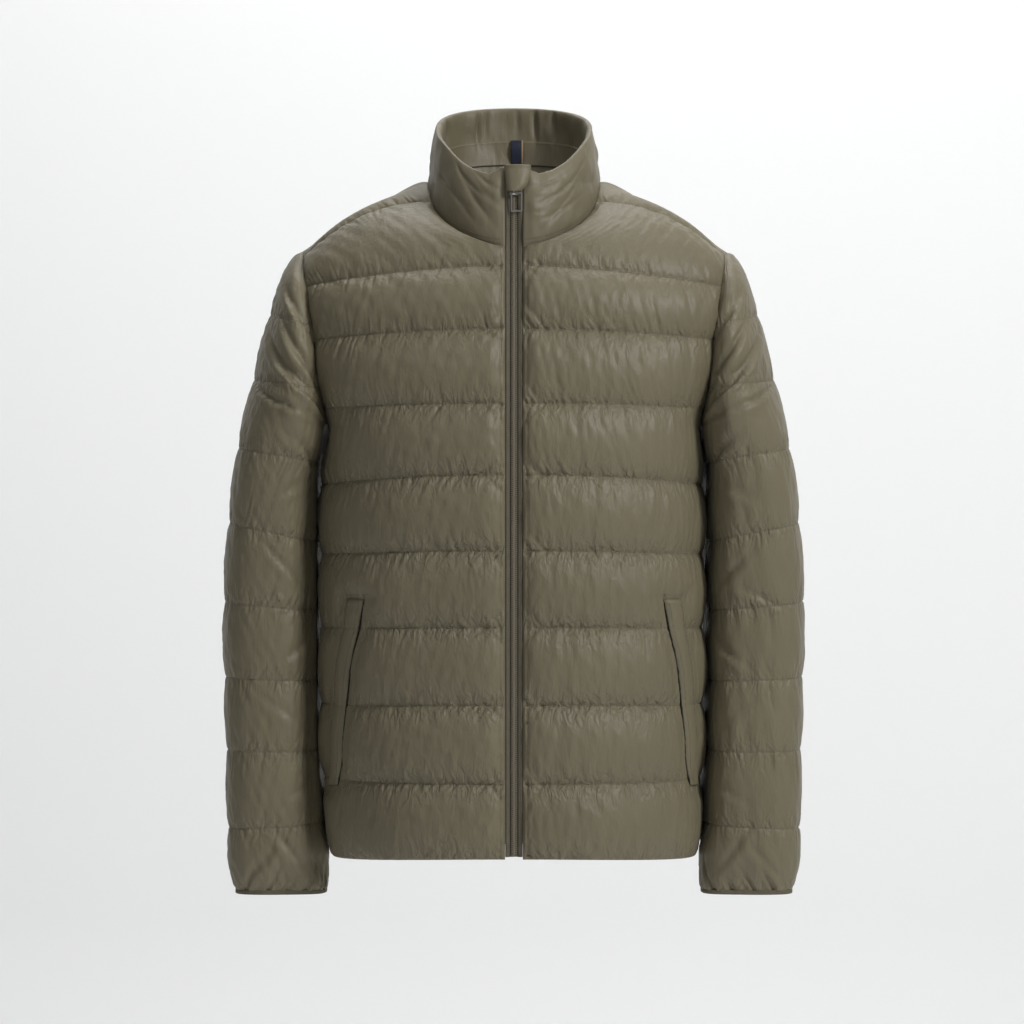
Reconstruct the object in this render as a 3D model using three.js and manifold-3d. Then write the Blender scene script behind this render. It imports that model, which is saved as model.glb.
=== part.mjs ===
// Puffer jacket, filled out as on a general figure and hollow inside. Millimetres, +Z up, front towards -Y.
// The origin is the middle of the neck opening at the height of the shoulder neck points.
import * as THREE from "three";
import { mergeVertices } from "three/addons/utils/BufferGeometryUtils.js";
import Module from "manifold-3d";

// Cloth and seams
const WALL = 2.5;
const SEAM_GAP = 0.4;
const HALF_GAP = SEAM_GAP / 2;
const LAID_ON = 0.5;

// Quilting: how far a chamber stands out at its middle
const PUFF_FRONT = 10;
const PUFF_SIDE_LOSS = 3;
const PUFF_SHOULDER = 5;
const PUFF_SLEEVE = 5.5;
const PUFF_POWER = 0.8;
const PUFF_RUN_IN = 24;

// Neck opening and shoulder seam
const NECK_HALF_WIDTH = 90;
const NECK_Y = 5;
const NECK_Z = 3;
const NECK_FRONT_DEPTH = 101;
const NECK_FRONT_DROP = 76;
const NECK_BACK_DEPTH = 75;
const NECK_BACK_RISE = 17;
const SHOULDER_POINT = [223, 4, -70];
const SHOULDER_BOW = 1.15;
const SHOULDER_PAD = { high: 4, at: 0.14 };
const SHOULDER_NORMAL = [0.45, 0, 0.89];

// Quilt rows: t counts the quilt lines from the hem up, t = 10 is the shoulder seam
const ARMPIT_T = 5.75;
const NECK_CORNER_T = 8.25;
const NECK_LINE_T = 9;
const SHOULDER_T = 10;
const ZIP_EDGE_X = 9;
const NECK_CORNER_DEG = (Math.asin(ZIP_EDGE_X / NECK_HALF_WIDTH) * 180) / Math.PI;
const NECK_LINE_DEG = 73;
const SQUARENESS = 2.3;

// Front edge (ny, nz), the sweep of the row round the body in degrees and how late it falls to the side
const FRONT_ROWS = [
  { t: 0, ny: -137, nz: -695.5, sweep: 90, fall: 2 },
  { t: 1, ny: -137, nz: -619.5, sweep: 90, fall: 2 },
  { t: 2, ny: -136, nz: -539.5, sweep: 90, fall: 2 },
  { t: 3, ny: -137, nz: -460.5, sweep: 90, fall: 2 },
  { t: 4, ny: -139, nz: -382.5, sweep: 90, fall: 2 },
  { t: 5, ny: -141, nz: -305.5, sweep: 90, fall: 2 },
  { t: 6, ny: -137, nz: -232.6, sweep: 76, fall: 1.6 },
  { t: 7, ny: -126, nz: -156.6, sweep: 64, fall: 1.6 },
  { t: 8, ny: -105, nz: -91, sweep: 62, fall: 1.6 },
  { t: 9, ny: -24.5, nz: -19.2, sweep: 60, fall: 2.2 },
];

// Back edge at the middle of the back
const BACK_ROWS = [
  { t: 0, ny: 122, nz: -702, sweep: 90, fall: 2 },
  { t: 1, ny: 118, nz: -620, sweep: 90, fall: 2 },
  { t: 2, ny: 113, nz: -543, sweep: 90, fall: 2 },
  { t: 3, ny: 109, nz: -463, sweep: 90, fall: 2 },
  { t: 4, ny: 110, nz: -387, sweep: 90, fall: 2 },
  { t: 5, ny: 118, nz: -314, sweep: 90, fall: 2 },
  { t: 6, ny: 126, nz: -236, sweep: 78, fall: 2 },
  { t: 7, ny: 128, nz: -160, sweep: 68, fall: 2 },
  { t: 8, ny: 118, nz: -90, sweep: 64, fall: 2.2 },
];
// How the back runs over the shoulder blades: upwards from line 8, then forwards into the shoulder seam
const BLADE_RISE = [0, -20, 130];
const NECK_RUN = [0, -20, 100];
const SHOULDER_RUN = [0, -120, 16];

// Side seam up to the armpit, then the two edges of the armhole
const SIDE_SEAM = [
  { t: 0, x: 190, y: 4, z: -702 },
  { t: 1, x: 192, y: 4, z: -620 },
  { t: 2, x: 194, y: 4, z: -543 },
  { t: 3, x: 194, y: 4, z: -463 },
  { t: 4, x: 194, y: 4, z: -387 },
  { t: 5, x: 194, y: 4, z: -314 },
  { t: ARMPIT_T, x: 194, y: 4, z: -255 },
];
const ARMHOLE_FRONT = [
  { t: ARMPIT_T, x: 194, y: 4, z: -255 },
  { t: 5.875, x: 195.5, y: -20, z: -249 },
  { t: 6, x: 198, y: -38, z: -236 },
  { t: 6.5, x: 203, y: -56, z: -199 },
  { t: 7, x: 206, y: -62, z: -165 },
  { t: 8, x: 215, y: -48, z: -109 },
  { t: 9, x: 220, y: -14, z: -77.5 },
  { t: SHOULDER_T, x: SHOULDER_POINT[0], y: SHOULDER_POINT[1], z: SHOULDER_POINT[2] },
];
const ARMHOLE_BACK = [
  { t: ARMPIT_T, x: 194, y: 4, z: -255 },
  { t: 5.875, x: 195.5, y: 28, z: -249 },
  { t: 6, x: 198, y: 46, z: -236 },
  { t: 6.5, x: 203, y: 66, z: -199 },
  { t: 7, x: 206, y: 73, z: -165 },
  { t: 8, x: 216, y: 60, z: -109 },
  { t: 9, x: 221, y: 28, z: -78 },
  { t: SHOULDER_T, x: SHOULDER_POINT[0], y: SHOULDER_POINT[1], z: SHOULDER_POINT[2] },
];
const ARMHOLE_CENTRE = { y: 5, z: -165 };
const ARMHOLE_LEAN = 0.35;

// Sleeve: r counts from the shoulder point down; its cap (r up to 4.25) is t = 10 - r on the armhole.
// Outermost point (xo, yo, zo), inner point (xi, zi) below the armpit, and the reach of each half row:
// reachX and reachY at the armhole, reachO at the outermost point.
const ARMPIT_R = SHOULDER_T - ARMPIT_T;
const CUFF_R = 10.75;
const SLEEVE_ROWS = [
  { r: 0, xi: 223, zi: -70, xo: 223, yo: 4, zo: -70, reachX: 0, reachY: 0, reachO: 0 },
  { r: 1, xi: 222, zi: -78, xo: 231, yo: 6, zo: -76.5, reachX: 5, reachY: 3, reachO: 12 },
  { r: 2, xi: 215, zi: -109, xo: 243.5, yo: 6, zo: -105, reachX: 17, reachY: 14, reachO: 36 },
  { r: 2.75, xi: 208, zi: -150, xo: 253.5, yo: 6, zo: -137, reachX: 22, reachY: 34, reachO: 50 },
  { r: 3.75, xi: 201, zi: -219, xo: 270.5, yo: 6, zo: -205, reachX: 14, reachY: 72, reachO: 78 },
  { r: 4.25, xi: 194, zi: -255, xo: 279, yo: 6, zo: -241, reachX: 0, reachY: 106, reachO: 106 },
  { r: 4.75, xi: 203, zi: -292, xo: 286, yo: 8, zo: -276, reachX: 0, reachY: 111, reachO: 111 },
  { r: 5.75, xi: 205, zi: -374, xo: 296, yo: 12, zo: -353, reachX: 0, reachY: 103, reachO: 103 },
  { r: 6.75, xi: 205, zi: -446, xo: 301, yo: 14, zo: -436, reachX: 0, reachY: 96, reachO: 96 },
  { r: 7.75, xi: 205, zi: -519, xo: 300, yo: 11, zo: -515, reachX: 0, reachY: 87, reachO: 87 },
  { r: 8.75, xi: 204, zi: -592, xo: 298, yo: 5, zo: -591, reachX: 0, reachY: 77, reachO: 77 },
  { r: 9.75, xi: 201, zi: -668, xo: 296, yo: -2, zo: -673, reachX: 0, reachY: 63, reachO: 63 },
  { r: CUFF_R, xi: 196, zi: -735, xo: 291, yo: -10, zo: -736, reachX: 0, reachY: 42, reachO: 42 },
];
const SLEEVE_LINES = [0, 2.75, 3.75, 4.75, 5.75, 6.75, 7.75, 8.75, 9.75, CUFF_R];
const SLEEVE_CLEARANCE = 3;
const SLEEVE_HALF_COLUMNS = 9;

const PANEL_COLUMNS = 10;
const NECK_COLUMNS = 4;
const NECK_SHARE = NECK_COLUMNS / (NECK_COLUMNS + PANEL_COLUMNS);
const NECK_ROWS = [...steps(NECK_CORNER_T, NECK_LINE_T, 0.1875).slice(1), 9.5, SHOULDER_T];
const PANEL_ROWS = [
  ...steps(0, ARMPIT_T, 0.25),
  ...steps(ARMPIT_T, 6, 0.125).slice(1),
  ...steps(6, NECK_CORNER_T, 0.25).slice(1),
  ...NECK_ROWS,
];
const INNER_ROWS = [0, 1, 2, 3, 4, 5, ARMPIT_T, 5.875, 6, 6.5, 7, 7.5, 8, NECK_CORNER_T, ...NECK_ROWS];

// Collar: outer top edge and padded thickness
const COLLAR_HALF_WIDTH = 82;
const COLLAR_TOP_Y = -5;
const COLLAR_TOP_DEPTH = 83;
const COLLAR_TOP_Z = 50.5;
const COLLAR_TOP_SLOPE = 38.5;
const COLLAR_SIDE_RISE = 9;
const COLLAR_BULGE = 6;
const COLLAR_SIDE_FLATNESS = 0.8;
const COLLAR_EDGE = 3;
const COLLAR_PADDING = 8;
const COLLAR_END_X = 9.2;
const NECK_SEAM_RISE = 0.75;
const COLLAR_HEIGHTS = [0, 0.12, 0.3, 0.5, 0.7, 0.86, 0.95, 1];
const FACING_WALL = 1.6;
const FACING_HEIGHTS = [0.1, 0.3, 0.5];

// Zip
const ZIP_Z = [-693, 10];
const TAPE_INNER_X = 4;
const TAPE_OUTER_X = 8.8;
const TAPE_THICK = 1.4;
const TAPE_SET_BACK = 1;
const CHAIN_HALF_WIDTH = 3.6;
const CHAIN_THICK = 2.8;
const CHAIN_SET_BACK = 0.3;
const ZIP_TOP_Y = -88.5;
const SLIDER = { width: 9, thick: 1.5, top: 0, bottom: -18 };
const BAIL = { width: 3, z: -16, out: 2.2, outer: 2.5, hole: 1.35, sides: 16 };
const PULL = { width: 12, length: 20, thick: 1.5, rim: 1.5, corner: 1.2, centreX: 2.7 };

// Chin guard: its left and right edges at each height
const GUARD_ROWS = [
  { z: -14.5, left: -7, right: 6 },
  { z: -12, left: -7.4, right: 9.5 },
  { z: -8, left: -7.9, right: 13 },
  { z: -2, left: -8.5, right: 15.4 },
  { z: 4, left: -9.2, right: 16.8 },
  { z: 9, left: -9.8, right: 17.4 },
  { z: 13.5, left: -10.2, right: 17.6 },
];
const GUARD_WALL = 1.6;
const GUARD_ARCH = 5;
const GUARD_COLUMNS = 8;

// Pocket welts: x of the front edge at each height
const WELT_ROWS = [
  { t: 0.9, x: 183 },
  { t: 1.2, x: 177.5 },
  { t: 1.6, x: 175.5 },
  { t: 2.1, x: 171.5 },
  { t: 2.5, x: 167.5 },
  { t: 3, x: 159 },
  { t: 3.38, x: 153 },
];
const WELT_WIDTH = 21;
const WELT_THICK = 3.2;
const WELT_STEP = 0.125;
const WELT_FLATTENED = 0.7;
const WELT_MARGIN = 0.25;

const CUFF_BINDING = { height: 5, wall: 3, proud: 0.6 };
const LOOP = { left: -3, right: 9.8, top: 54, bottom: 29, wall: 1.4, arch: 3 };

const OLIVE = 0x706854;
const OLIVE_DARK = 0x4a4436;
const METAL = 0xb9b7ae;
const NAVY = 0x232a3c;

// Small vector sums on [x, y, z]
function steps(from, to, step) {
  const count = Math.round((to - from) / step);
  return Array.from({ length: count + 1 }, (_, i) => from + i * step);
}
const add = (a, b, k = 1) => [a[0] + b[0] * k, a[1] + b[1] * k, a[2] + b[2] * k];
const minus = (a, b) => [a[0] - b[0], a[1] - b[1], a[2] - b[2]];
const lerp = (a, b, k) => add(a, minus(b, a), k);
const cross = (a, b) => [
  a[1] * b[2] - a[2] * b[1],
  a[2] * b[0] - a[0] * b[2],
  a[0] * b[1] - a[1] * b[0],
];
const unit = (a) => {
  const l = Math.hypot(...a) || 1;
  return [a[0] / l, a[1] / l, a[2] / l];
};
const clamp01 = (v) => Math.min(1, Math.max(0, v));
const ease = (v) => {
  const c = clamp01(v);
  return c * c * (3 - 2 * c);
};

// A smooth curve through one column of a table, with the slope of the parabola through three rows
function through(rows, key, by = "t") {
  const t = rows.map((r) => r[by]);
  const p = rows.map((r) => r[key]);
  const last = t.length - 1;
  const rise = (i) => (p[i + 1] - p[i]) / (t[i + 1] - t[i]);
  const slope = p.map((_, i) => {
    if (i === 0) return rise(0);
    if (i === last) return rise(last - 1);
    const before = t[i] - t[i - 1];
    const after = t[i + 1] - t[i];
    return (rise(i - 1) * after + rise(i) * before) / (before + after);
  });
  return (x) => {
    let i = 0;
    while (i < last - 1 && x > t[i + 1]) i++;
    const h = t[i + 1] - t[i];
    const s = clamp01((x - t[i]) / h);
    const s2 = s * s;
    const s3 = s2 * s;
    return (
      (2 * s3 - 3 * s2 + 1) * p[i] +
      (s3 - 2 * s2 + s) * h * slope[i] +
      (3 * s2 - 2 * s3) * p[i + 1] +
      (s3 - s2) * h * slope[i + 1]
    );
  };
}
function curveThrough(rows, by = "t") {
  const [x, y, z] = ["x", "y", "z"].map((key) => through(rows, key, by));
  return (v) => [x(v), y(v), z(v)];
}

// Neckline by the angle round the neck: 0 at the zip, 90 at the shoulder, 180 at the middle of the back
function neckline(degrees) {
  const a = (degrees * Math.PI) / 180;
  const front = degrees <= 90;
  const depth = front ? NECK_FRONT_DEPTH : NECK_BACK_DEPTH;
  const rise = front ? NECK_FRONT_DROP : NECK_BACK_RISE;
  return [NECK_HALF_WIDTH * Math.sin(a), NECK_Y - depth * Math.cos(a), NECK_Z - rise * Math.cos(a)];
}
function neckAngle(t) {
  if (t <= NECK_LINE_T) {
    const share = (t - NECK_CORNER_T) / (NECK_LINE_T - NECK_CORNER_T);
    return NECK_CORNER_DEG + (NECK_LINE_DEG - NECK_CORNER_DEG) * share;
  }
  return NECK_LINE_DEG + (90 - NECK_LINE_DEG) * (t - NECK_LINE_T);
}
function neckNormal(degrees) {
  const p = neckline(degrees);
  return unit([...unit([p[0], p[1] - NECK_Y + 1e-6, 0]).slice(0, 2), NECK_SEAM_RISE]);
}
// The direction across the neck seam, up into the collar
function neckAcross(degrees) {
  const along = minus(neckline(degrees + 0.5), neckline(degrees - 0.5));
  const c = unit(cross(along, neckNormal(degrees)));
  return c[2] < 0 ? add([0, 0, 0], c, -1) : c;
}

// Shoulder seam, share 0 at the neck to 1 at the shoulder point
function shoulder(share) {
  const neck = neckline(90);
  const flat = lerp(neck, SHOULDER_POINT, share);
  const fall = Math.pow(share, SHOULDER_BOW);
  const past = share / SHOULDER_PAD.at;
  const pad = SHOULDER_PAD.high * past * Math.exp(1 - past) * (1 - share);
  return [flat[0], flat[1], neck[2] + (SHOULDER_POINT[2] - neck[2]) * fall + pad];
}

const sideSeam = curveThrough(SIDE_SEAM);
const armholeFront = curveThrough(ARMHOLE_FRONT);
const armholeBack = curveThrough(ARMHOLE_BACK);
const outerEdge = (armhole) => (t) => (t <= ARMPIT_T ? sideSeam(t) : armhole(t));

// Rim direction of the armhole seam: away from its centre, leaning outwards above the armpit
function armholeNormal(armhole, t) {
  const p = armhole(t);
  const radial = unit([0, p[1] - ARMHOLE_CENTRE.y, p[2] - ARMHOLE_CENTRE.z]);
  return unit(add(radial, [ARMHOLE_LEAN * clamp01(t - ARMPIT_T), 0, 0]));
}
// The direction across the armhole seam, out into the sleeve
function armholeAcross(armhole, t) {
  const nearby = 0.02;
  const low = Math.max(ARMPIT_T, t - nearby);
  const high = Math.min(SHOULDER_T, t + nearby);
  const along = minus(armhole(high), armhole(low));
  const c = unit(cross(along, armholeNormal(armhole, t)));
  return c[0] < 0 ? add([0, 0, 0], c, -1) : c;
}

// One quilt row round the body from its middle edge (share 0) to its side or armhole (share 1):
// part of a squared ellipse of the given sweep, falling late towards the side
function rowPoint(from, to, sweep, fall, share) {
  const on = (angle) => {
    const s = Math.sin(angle);
    const c = Math.cos(angle);
    const r = Math.pow(Math.pow(s, SQUARENESS) + Math.pow(Math.max(c, 0), SQUARENESS), -1 / SQUARENESS);
    return [r * s, r * Math.max(c, 0)];
  };
  const end = (sweep * Math.PI) / 180;
  const [x, y] = on(share * end);
  const [xEnd, yEnd] = on(end);
  const across = x / xEnd;
  const forward = (y - yEnd) / (1 - yEnd);
  return [
    from[0] + (to[0] - from[0]) * across,
    to[1] + (from[1] - to[1]) * forward,
    from[2] + (to[2] - from[2]) * Math.pow(across, fall),
  ];
}

// Line 9 of the back: halfway along the curve from line 8 to the top edge
function overBlades(low, high, u) {
  const run = lerp(NECK_RUN, SHOULDER_RUN, ease(u / NECK_SHARE));
  const middle = add(lerp(low, high, 0.5), BLADE_RISE, 1 / 8);
  return add(middle, run, -1 / 8);
}

// A body panel's seam surface: its quilt rows joined smoothly, then brought onto its exact edges
function panelSurface(rows, middle, side, topRow) {
  const row = (k, u) => {
    const v = clamp01(u);
    if (k >= SHOULDER_T) return topRow(v);
    if (k >= rows.length) return overBlades(row(k - 1, v), topRow(v), v);
    const { sweep, fall } = rows[k];
    return rowPoint(middle(k), side(k), sweep, fall, v);
  };
  const joined = (t, u) => {
    const k = Math.min(SHOULDER_T - 1, Math.floor(t));
    const s = t - k;
    const before = k > 0 ? row(k - 1, u) : add(row(0, u), minus(row(1, u), row(0, u)), -1);
    const after = k + 2 <= SHOULDER_T ? row(k + 2, u) : add(row(k + 1, u), minus(row(k + 1, u), row(k, u)));
    const a = row(k, u);
    const b = row(k + 1, u);
    return a.map((_, i) => {
      const first = (b[i] - before[i]) / 2;
      const second = (after[i] - a[i]) / 2;
      const s2 = s * s;
      const s3 = s2 * s;
      return (
        (2 * s3 - 3 * s2 + 1) * a[i] +
        (s3 - 2 * s2 + s) * first +
        (3 * s2 - 2 * s3) * b[i] +
        (s3 - s2) * second
      );
    });
  };
  return (t, u) => {
    const v = clamp01(u);
    let p = joined(t, v);
    p = add(p, minus(middle(t), joined(t, 0)), Math.pow(1 - v, 3));
    return add(p, minus(side(t), joined(t, 1)), Math.pow(v, 3));
  };
}

// Front, +X side
const frontY = through([...FRONT_ROWS.slice(0, 9), { t: NECK_CORNER_T, ny: neckline(NECK_CORNER_DEG)[1] }], "ny");
const frontZ = through([...FRONT_ROWS.slice(0, 9), { t: NECK_CORNER_T, nz: neckline(NECK_CORNER_DEG)[2] }], "nz");
function frontMiddle(t) {
  return t < NECK_CORNER_T ? [ZIP_EDGE_X, frontY(t), frontZ(t)] : neckline(neckAngle(t));
}
const frontSide = outerEdge(armholeFront);
const frontSurface = panelSurface(FRONT_ROWS, frontMiddle, frontSide, shoulder);

// Back, +X half
function backTop(u) {
  if (u <= NECK_SHARE) return neckline(180 - (90 * u) / NECK_SHARE);
  return shoulder((u - NECK_SHARE) / (1 - NECK_SHARE));
}
const backNeck = neckline(180);
const NAPE_ROWS = [
  ...BACK_ROWS,
  { t: NECK_LINE_T, ny: 99, nz: -30 },
  { t: SHOULDER_T, ny: backNeck[1], nz: backNeck[2] },
];
const backY = through(NAPE_ROWS, "ny");
const backZ = through(NAPE_ROWS, "nz");
const backMiddle = (t) => [0, backY(t), backZ(t)];
const backSide = outerEdge(armholeBack);
const backSurface = panelSurface(BACK_ROWS, backMiddle, backSide, backTop);

// Outward direction of a surface of (t, u); turn is 1 where u runs to +X seen from outside, else -1
function outward(surface, t, u, turn) {
  const d = 0.01;
  const du = minus(surface(t, Math.min(1, u + d)), surface(t, Math.max(0, u - d)));
  const dt = minus(surface(Math.min(SHOULDER_T, t + d), u), surface(Math.max(0, t - d), u));
  return unit(add([0, 0, 0], cross(du, dt), turn));
}

// The swell of a quilt chamber: s runs from one quilt line (0) to the next (1)
const swell = (s) => Math.pow(clamp01(4 * s * (1 - s)), PUFF_POWER);
function panelPuff(t, u, fromMiddle) {
  const length = 280;
  const nearEdge = Math.min(fromMiddle ? (u * length) / PUFF_RUN_IN : 1, ((1 - u) * length) / PUFF_RUN_IN);
  const high = t > NECK_LINE_T ? PUFF_SHOULDER : PUFF_FRONT - PUFF_SIDE_LOSS * u * u;
  const armpit = Math.exp(-Math.pow((u - 1) / 0.2, 2) - Math.pow((t - ARMPIT_T) / 0.6, 2));
  return high * swell(t - Math.floor(t)) * clamp01(nearEdge) * (1 - armpit);
}

// Where the pocket welt lies on the front, as shares of the row
const weltX = through(WELT_ROWS, "x");
function shareAtX(t, x) {
  let low = 0;
  let high = 1;
  for (let i = 0; i < 24; i++) {
    const mid = (low + high) / 2;
    if (frontSurface(t, mid)[0] < x) low = mid;
    else high = mid;
  }
  return (low + high) / 2;
}
function weltShares(t) {
  const front = shareAtX(t, weltX(t));
  const row = Math.hypot(...minus(frontSurface(t, front + 0.02), frontSurface(t, front))) / 0.02;
  return [front, Math.min(0.985, front + WELT_WIDTH / row)];
}
const WELT_T = [WELT_ROWS[0].t, WELT_ROWS[WELT_ROWS.length - 1].t];
function frontPuff(t, u) {
  const puff = panelPuff(t, u, true);
  const below = (t - WELT_T[0] + 2 * WELT_MARGIN) / WELT_MARGIN;
  const above = (WELT_T[1] + 2 * WELT_MARGIN - t) / WELT_MARGIN;
  if (below < 0 || above < 0) return puff;
  const inT = ease(below) * ease(above);
  const [from, to] = weltShares(Math.min(WELT_T[1], Math.max(WELT_T[0], t)));
  const inU = ease((u - from + 0.12) / 0.1);
  return puff * (1 - WELT_FLATTENED * inT * inU * (u > to + 0.2 ? 0 : 1));
}
function frontOuter(t, u) {
  return add(frontSurface(t, u), outward(frontSurface, t, u, 1), frontPuff(t, u));
}

// Triangles of a closed wall: rows of outer points, and inner points at some of those rows.
// rimRows are the rows whose two ends have a rim; the others close on themselves.
function wall(outer, inner, innerAt, rimRows = [0, outer.length - 1]) {
  const faces = [];
  const quad = (a, b, c, d) => faces.push([a, b, c], [a, c, d]);
  const n = outer[0].length - 1;
  for (let i = 0; i < outer.length - 1; i++) {
    for (let j = 0; j < n; j++) quad(outer[i][j], outer[i][j + 1], outer[i + 1][j + 1], outer[i + 1][j]);
  }
  for (let k = 0; k < inner.length - 1; k++) {
    for (let j = 0; j < n; j++) quad(inner[k][j], inner[k + 1][j], inner[k + 1][j + 1], inner[k][j + 1]);
  }
  const top = outer.length - 1;
  const innerTop = inner.length - 1;
  for (let j = 0; j < n; j++) {
    quad(outer[0][j + 1], outer[0][j], inner[0][j], inner[0][j + 1]);
    quad(outer[top][j], outer[top][j + 1], inner[innerTop][j + 1], inner[innerTop][j]);
  }
  for (let k = 0; k < innerTop; k++) {
    const from = innerAt[k];
    const to = innerAt[k + 1];
    if (from < rimRows[0] || to > rimRows[1]) continue;
    for (let i = from; i < to; i++) {
      faces.push([outer[i][0], outer[i + 1][0], inner[k][0]]);
      faces.push([outer[i + 1][n], outer[i][n], inner[k][n]]);
    }
    faces.push([outer[to][0], inner[k + 1][0], inner[k][0]]);
    faces.push([inner[k + 1][n], outer[to][n], inner[k][n]]);
  }
  return faces;
}
// A closed band: the last column meets the first again
function band(outer, inner) {
  const at = outer.map((_, i) => i);
  const close = (rows) => rows.map((row) => [...row, row[0]]);
  return wall(close(outer), close(inner), at, [1, 0]);
}
const mirrored = (faces) => faces.map((f) => f.map(([x, y, z]) => [-x, y, z]).reverse());

// A named mesh from triangles, with equal points shared and flat triangles left out
const group = new THREE.Group();
function piece(name, faces, color, roughness = 0.55, metalness = 0) {
  const found = new Map();
  const positions = [];
  const index = [];
  const id = (p) => {
    const key = p.map((v) => Math.round(v * 500)).join();
    if (!found.has(key)) {
      found.set(key, positions.length / 3);
      positions.push(...p);
    }
    return found.get(key);
  };
  for (const face of faces) {
    const [a, b, c] = face.map(id);
    if (a !== b && b !== c && c !== a) index.push(a, b, c);
  }
  const geometry = new THREE.BufferGeometry();
  geometry.setAttribute("position", new THREE.Float32BufferAttribute(positions, 3));
  geometry.setIndex(index);
  geometry.computeVertexNormals();
  const mesh = new THREE.Mesh(geometry, new THREE.MeshStandardMaterial({ color, roughness, metalness }));
  mesh.name = name;
  group.add(mesh);
  return mesh;
}
function pair(name, faces, color, roughness, metalness) {
  piece(name + "_left", faces, color, roughness, metalness);
  piece(name + "_right", mirrored(faces), color, roughness, metalness);
}

// Body panel as a wall. rims(t, u) gives the rim direction and the pull back from each seam at an edge point.
function panelWall(shares, surface, puff, turn, rims) {
  const point = (t, u) => {
    const rim = rims(t, u);
    const n = rim.normal || outward(surface, t, u, turn);
    const base = add(surface(t, u), rim.pull, HALF_GAP);
    return { outer: add(base, n, rim.normal ? 0 : puff(t, u)), inner: add(base, n, -WALL) };
  };
  const outer = PANEL_ROWS.map((t) => shares.map((u) => point(t, u).outer));
  const inner = INNER_ROWS.map((t) => shares.map((u) => point(t, u).inner));
  return { outer, inner, at: INNER_ROWS.map((t) => PANEL_ROWS.indexOf(t)) };
}

// Rim directions where a panel meets its side seam, armhole and shoulder
function seamRims(t, atSide, onShoulder, armhole, sideWay) {
  const normals = [];
  const pulls = [];
  if (atSide && t <= ARMPIT_T) {
    normals.push([1, 0, 0]);
    pulls.push([0, sideWay, 0]);
  }
  if (atSide && t >= ARMPIT_T) {
    normals.push(armholeNormal(armhole, t));
    pulls.push(add([0, 0, 0], armholeAcross(armhole, t), -1));
  }
  if (onShoulder) {
    normals.push(SHOULDER_NORMAL);
    pulls.push([0, sideWay, 0]);
  }
  return { normals, pulls };
}
function joinedRims(normals, pulls) {
  const sum = (list) => list.reduce((a, b) => add(a, b), [0, 0, 0]);
  return { normal: normals.length ? unit(sum(normals)) : null, pull: sum(pulls) };
}

function frontPanel() {
  const shares = steps(0, 1, 1 / PANEL_COLUMNS);
  const rims = (t, u) => {
    const { normals, pulls } = seamRims(t, u > 0.999, t === SHOULDER_T, armholeFront, -1);
    if (u < 0.001 && t <= NECK_CORNER_T) pulls.push([1, 0, 0]);
    if (u < 0.001 && t < NECK_CORNER_T) normals.push([0, -1, 0]);
    if (u < 0.001 && t >= NECK_CORNER_T) {
      normals.push(neckNormal(neckAngle(t)));
      pulls.push(add([0, 0, 0], neckAcross(neckAngle(t)), -1));
    }
    return joinedRims(normals, pulls);
  };
  const { outer, inner, at } = panelWall(shares, frontSurface, frontPuff, 1, rims);
  return wall(outer, inner, at);
}

function backPanel() {
  const half = steps(0, 1, 1 / (NECK_COLUMNS + PANEL_COLUMNS));
  const rims = (t, u) => {
    const top = t === SHOULDER_T;
    const { normals, pulls } = seamRims(t, u > 0.999, top && u > NECK_SHARE - 0.001, armholeBack, 1);
    if (top && u < NECK_SHARE + 0.001) {
      const angle = 180 - (90 * u) / NECK_SHARE;
      normals.push(neckNormal(angle));
      pulls.push(add([0, 0, 0], neckAcross(angle), -1));
    }
    return joinedRims(normals, pulls);
  };
  const puff = (t, u) => panelPuff(t, u, false);
  const { outer, inner, at } = panelWall(half, backSurface, puff, -1, rims);
  // Both halves in one row, from +X to -X so that the outside faces out
  const whole = (rows) =>
    rows.map((row) => [...row.slice(1).reverse(), ...row.map(([x, y, z]) => [-x, y, z])]);
  return wall(whole(outer), whole(inner), at);
}

// Sleeve seam surface: v runs 0 to 1 from the front edge to the outermost line, 1 to 2 on to the back edge
const sleeveAt = Object.fromEntries(
  ["xi", "zi", "xo", "yo", "zo", "reachX", "reachY", "reachO"].map((k) => [k, through(SLEEVE_ROWS, k, "r")]),
);
function sleeveSurface(r, v) {
  const s = Object.fromEntries(Object.entries(sleeveAt).map(([k, f]) => [k, f(r)]));
  const back = v > 1;
  const way = back ? 1 : -1;
  const armhole = back ? armholeBack : armholeFront;
  const start = r <= ARMPIT_R ? armhole(SHOULDER_T - r) : [s.xi, 4 + ((s.yo - 4) * (r - ARMPIT_R)) / 2, s.zi];
  if (r > ARMPIT_R + 2) start[1] = s.yo;
  const end = [s.xo, s.yo, s.zo];
  const w = back ? 2 - v : v;
  const a = add(start, [s.reachX, way * s.reachY, 0]);
  const b = add(end, [0, way * s.reachO, 0]);
  a[2] += (end[2] - start[2]) / 4;
  b[2] -= (end[2] - start[2]) / 4;
  const q = 1 - w;
  return start.map(
    (_, i) => q * q * q * start[i] + 3 * q * q * w * a[i] + 3 * q * w * w * b[i] + w * w * w * end[i],
  );
}
function sleeveOutward(r, v) {
  const d = 0.01;
  const low = Math.max(0.02, r - d);
  const dv = minus(sleeveSurface(r, Math.min(2, v + d)), sleeveSurface(r, Math.max(0, v - d)));
  const dr = minus(sleeveSurface(low, v), sleeveSurface(Math.min(CUFF_R, low + 2 * d), v));
  return unit(cross(dv, dr));
}
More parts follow.
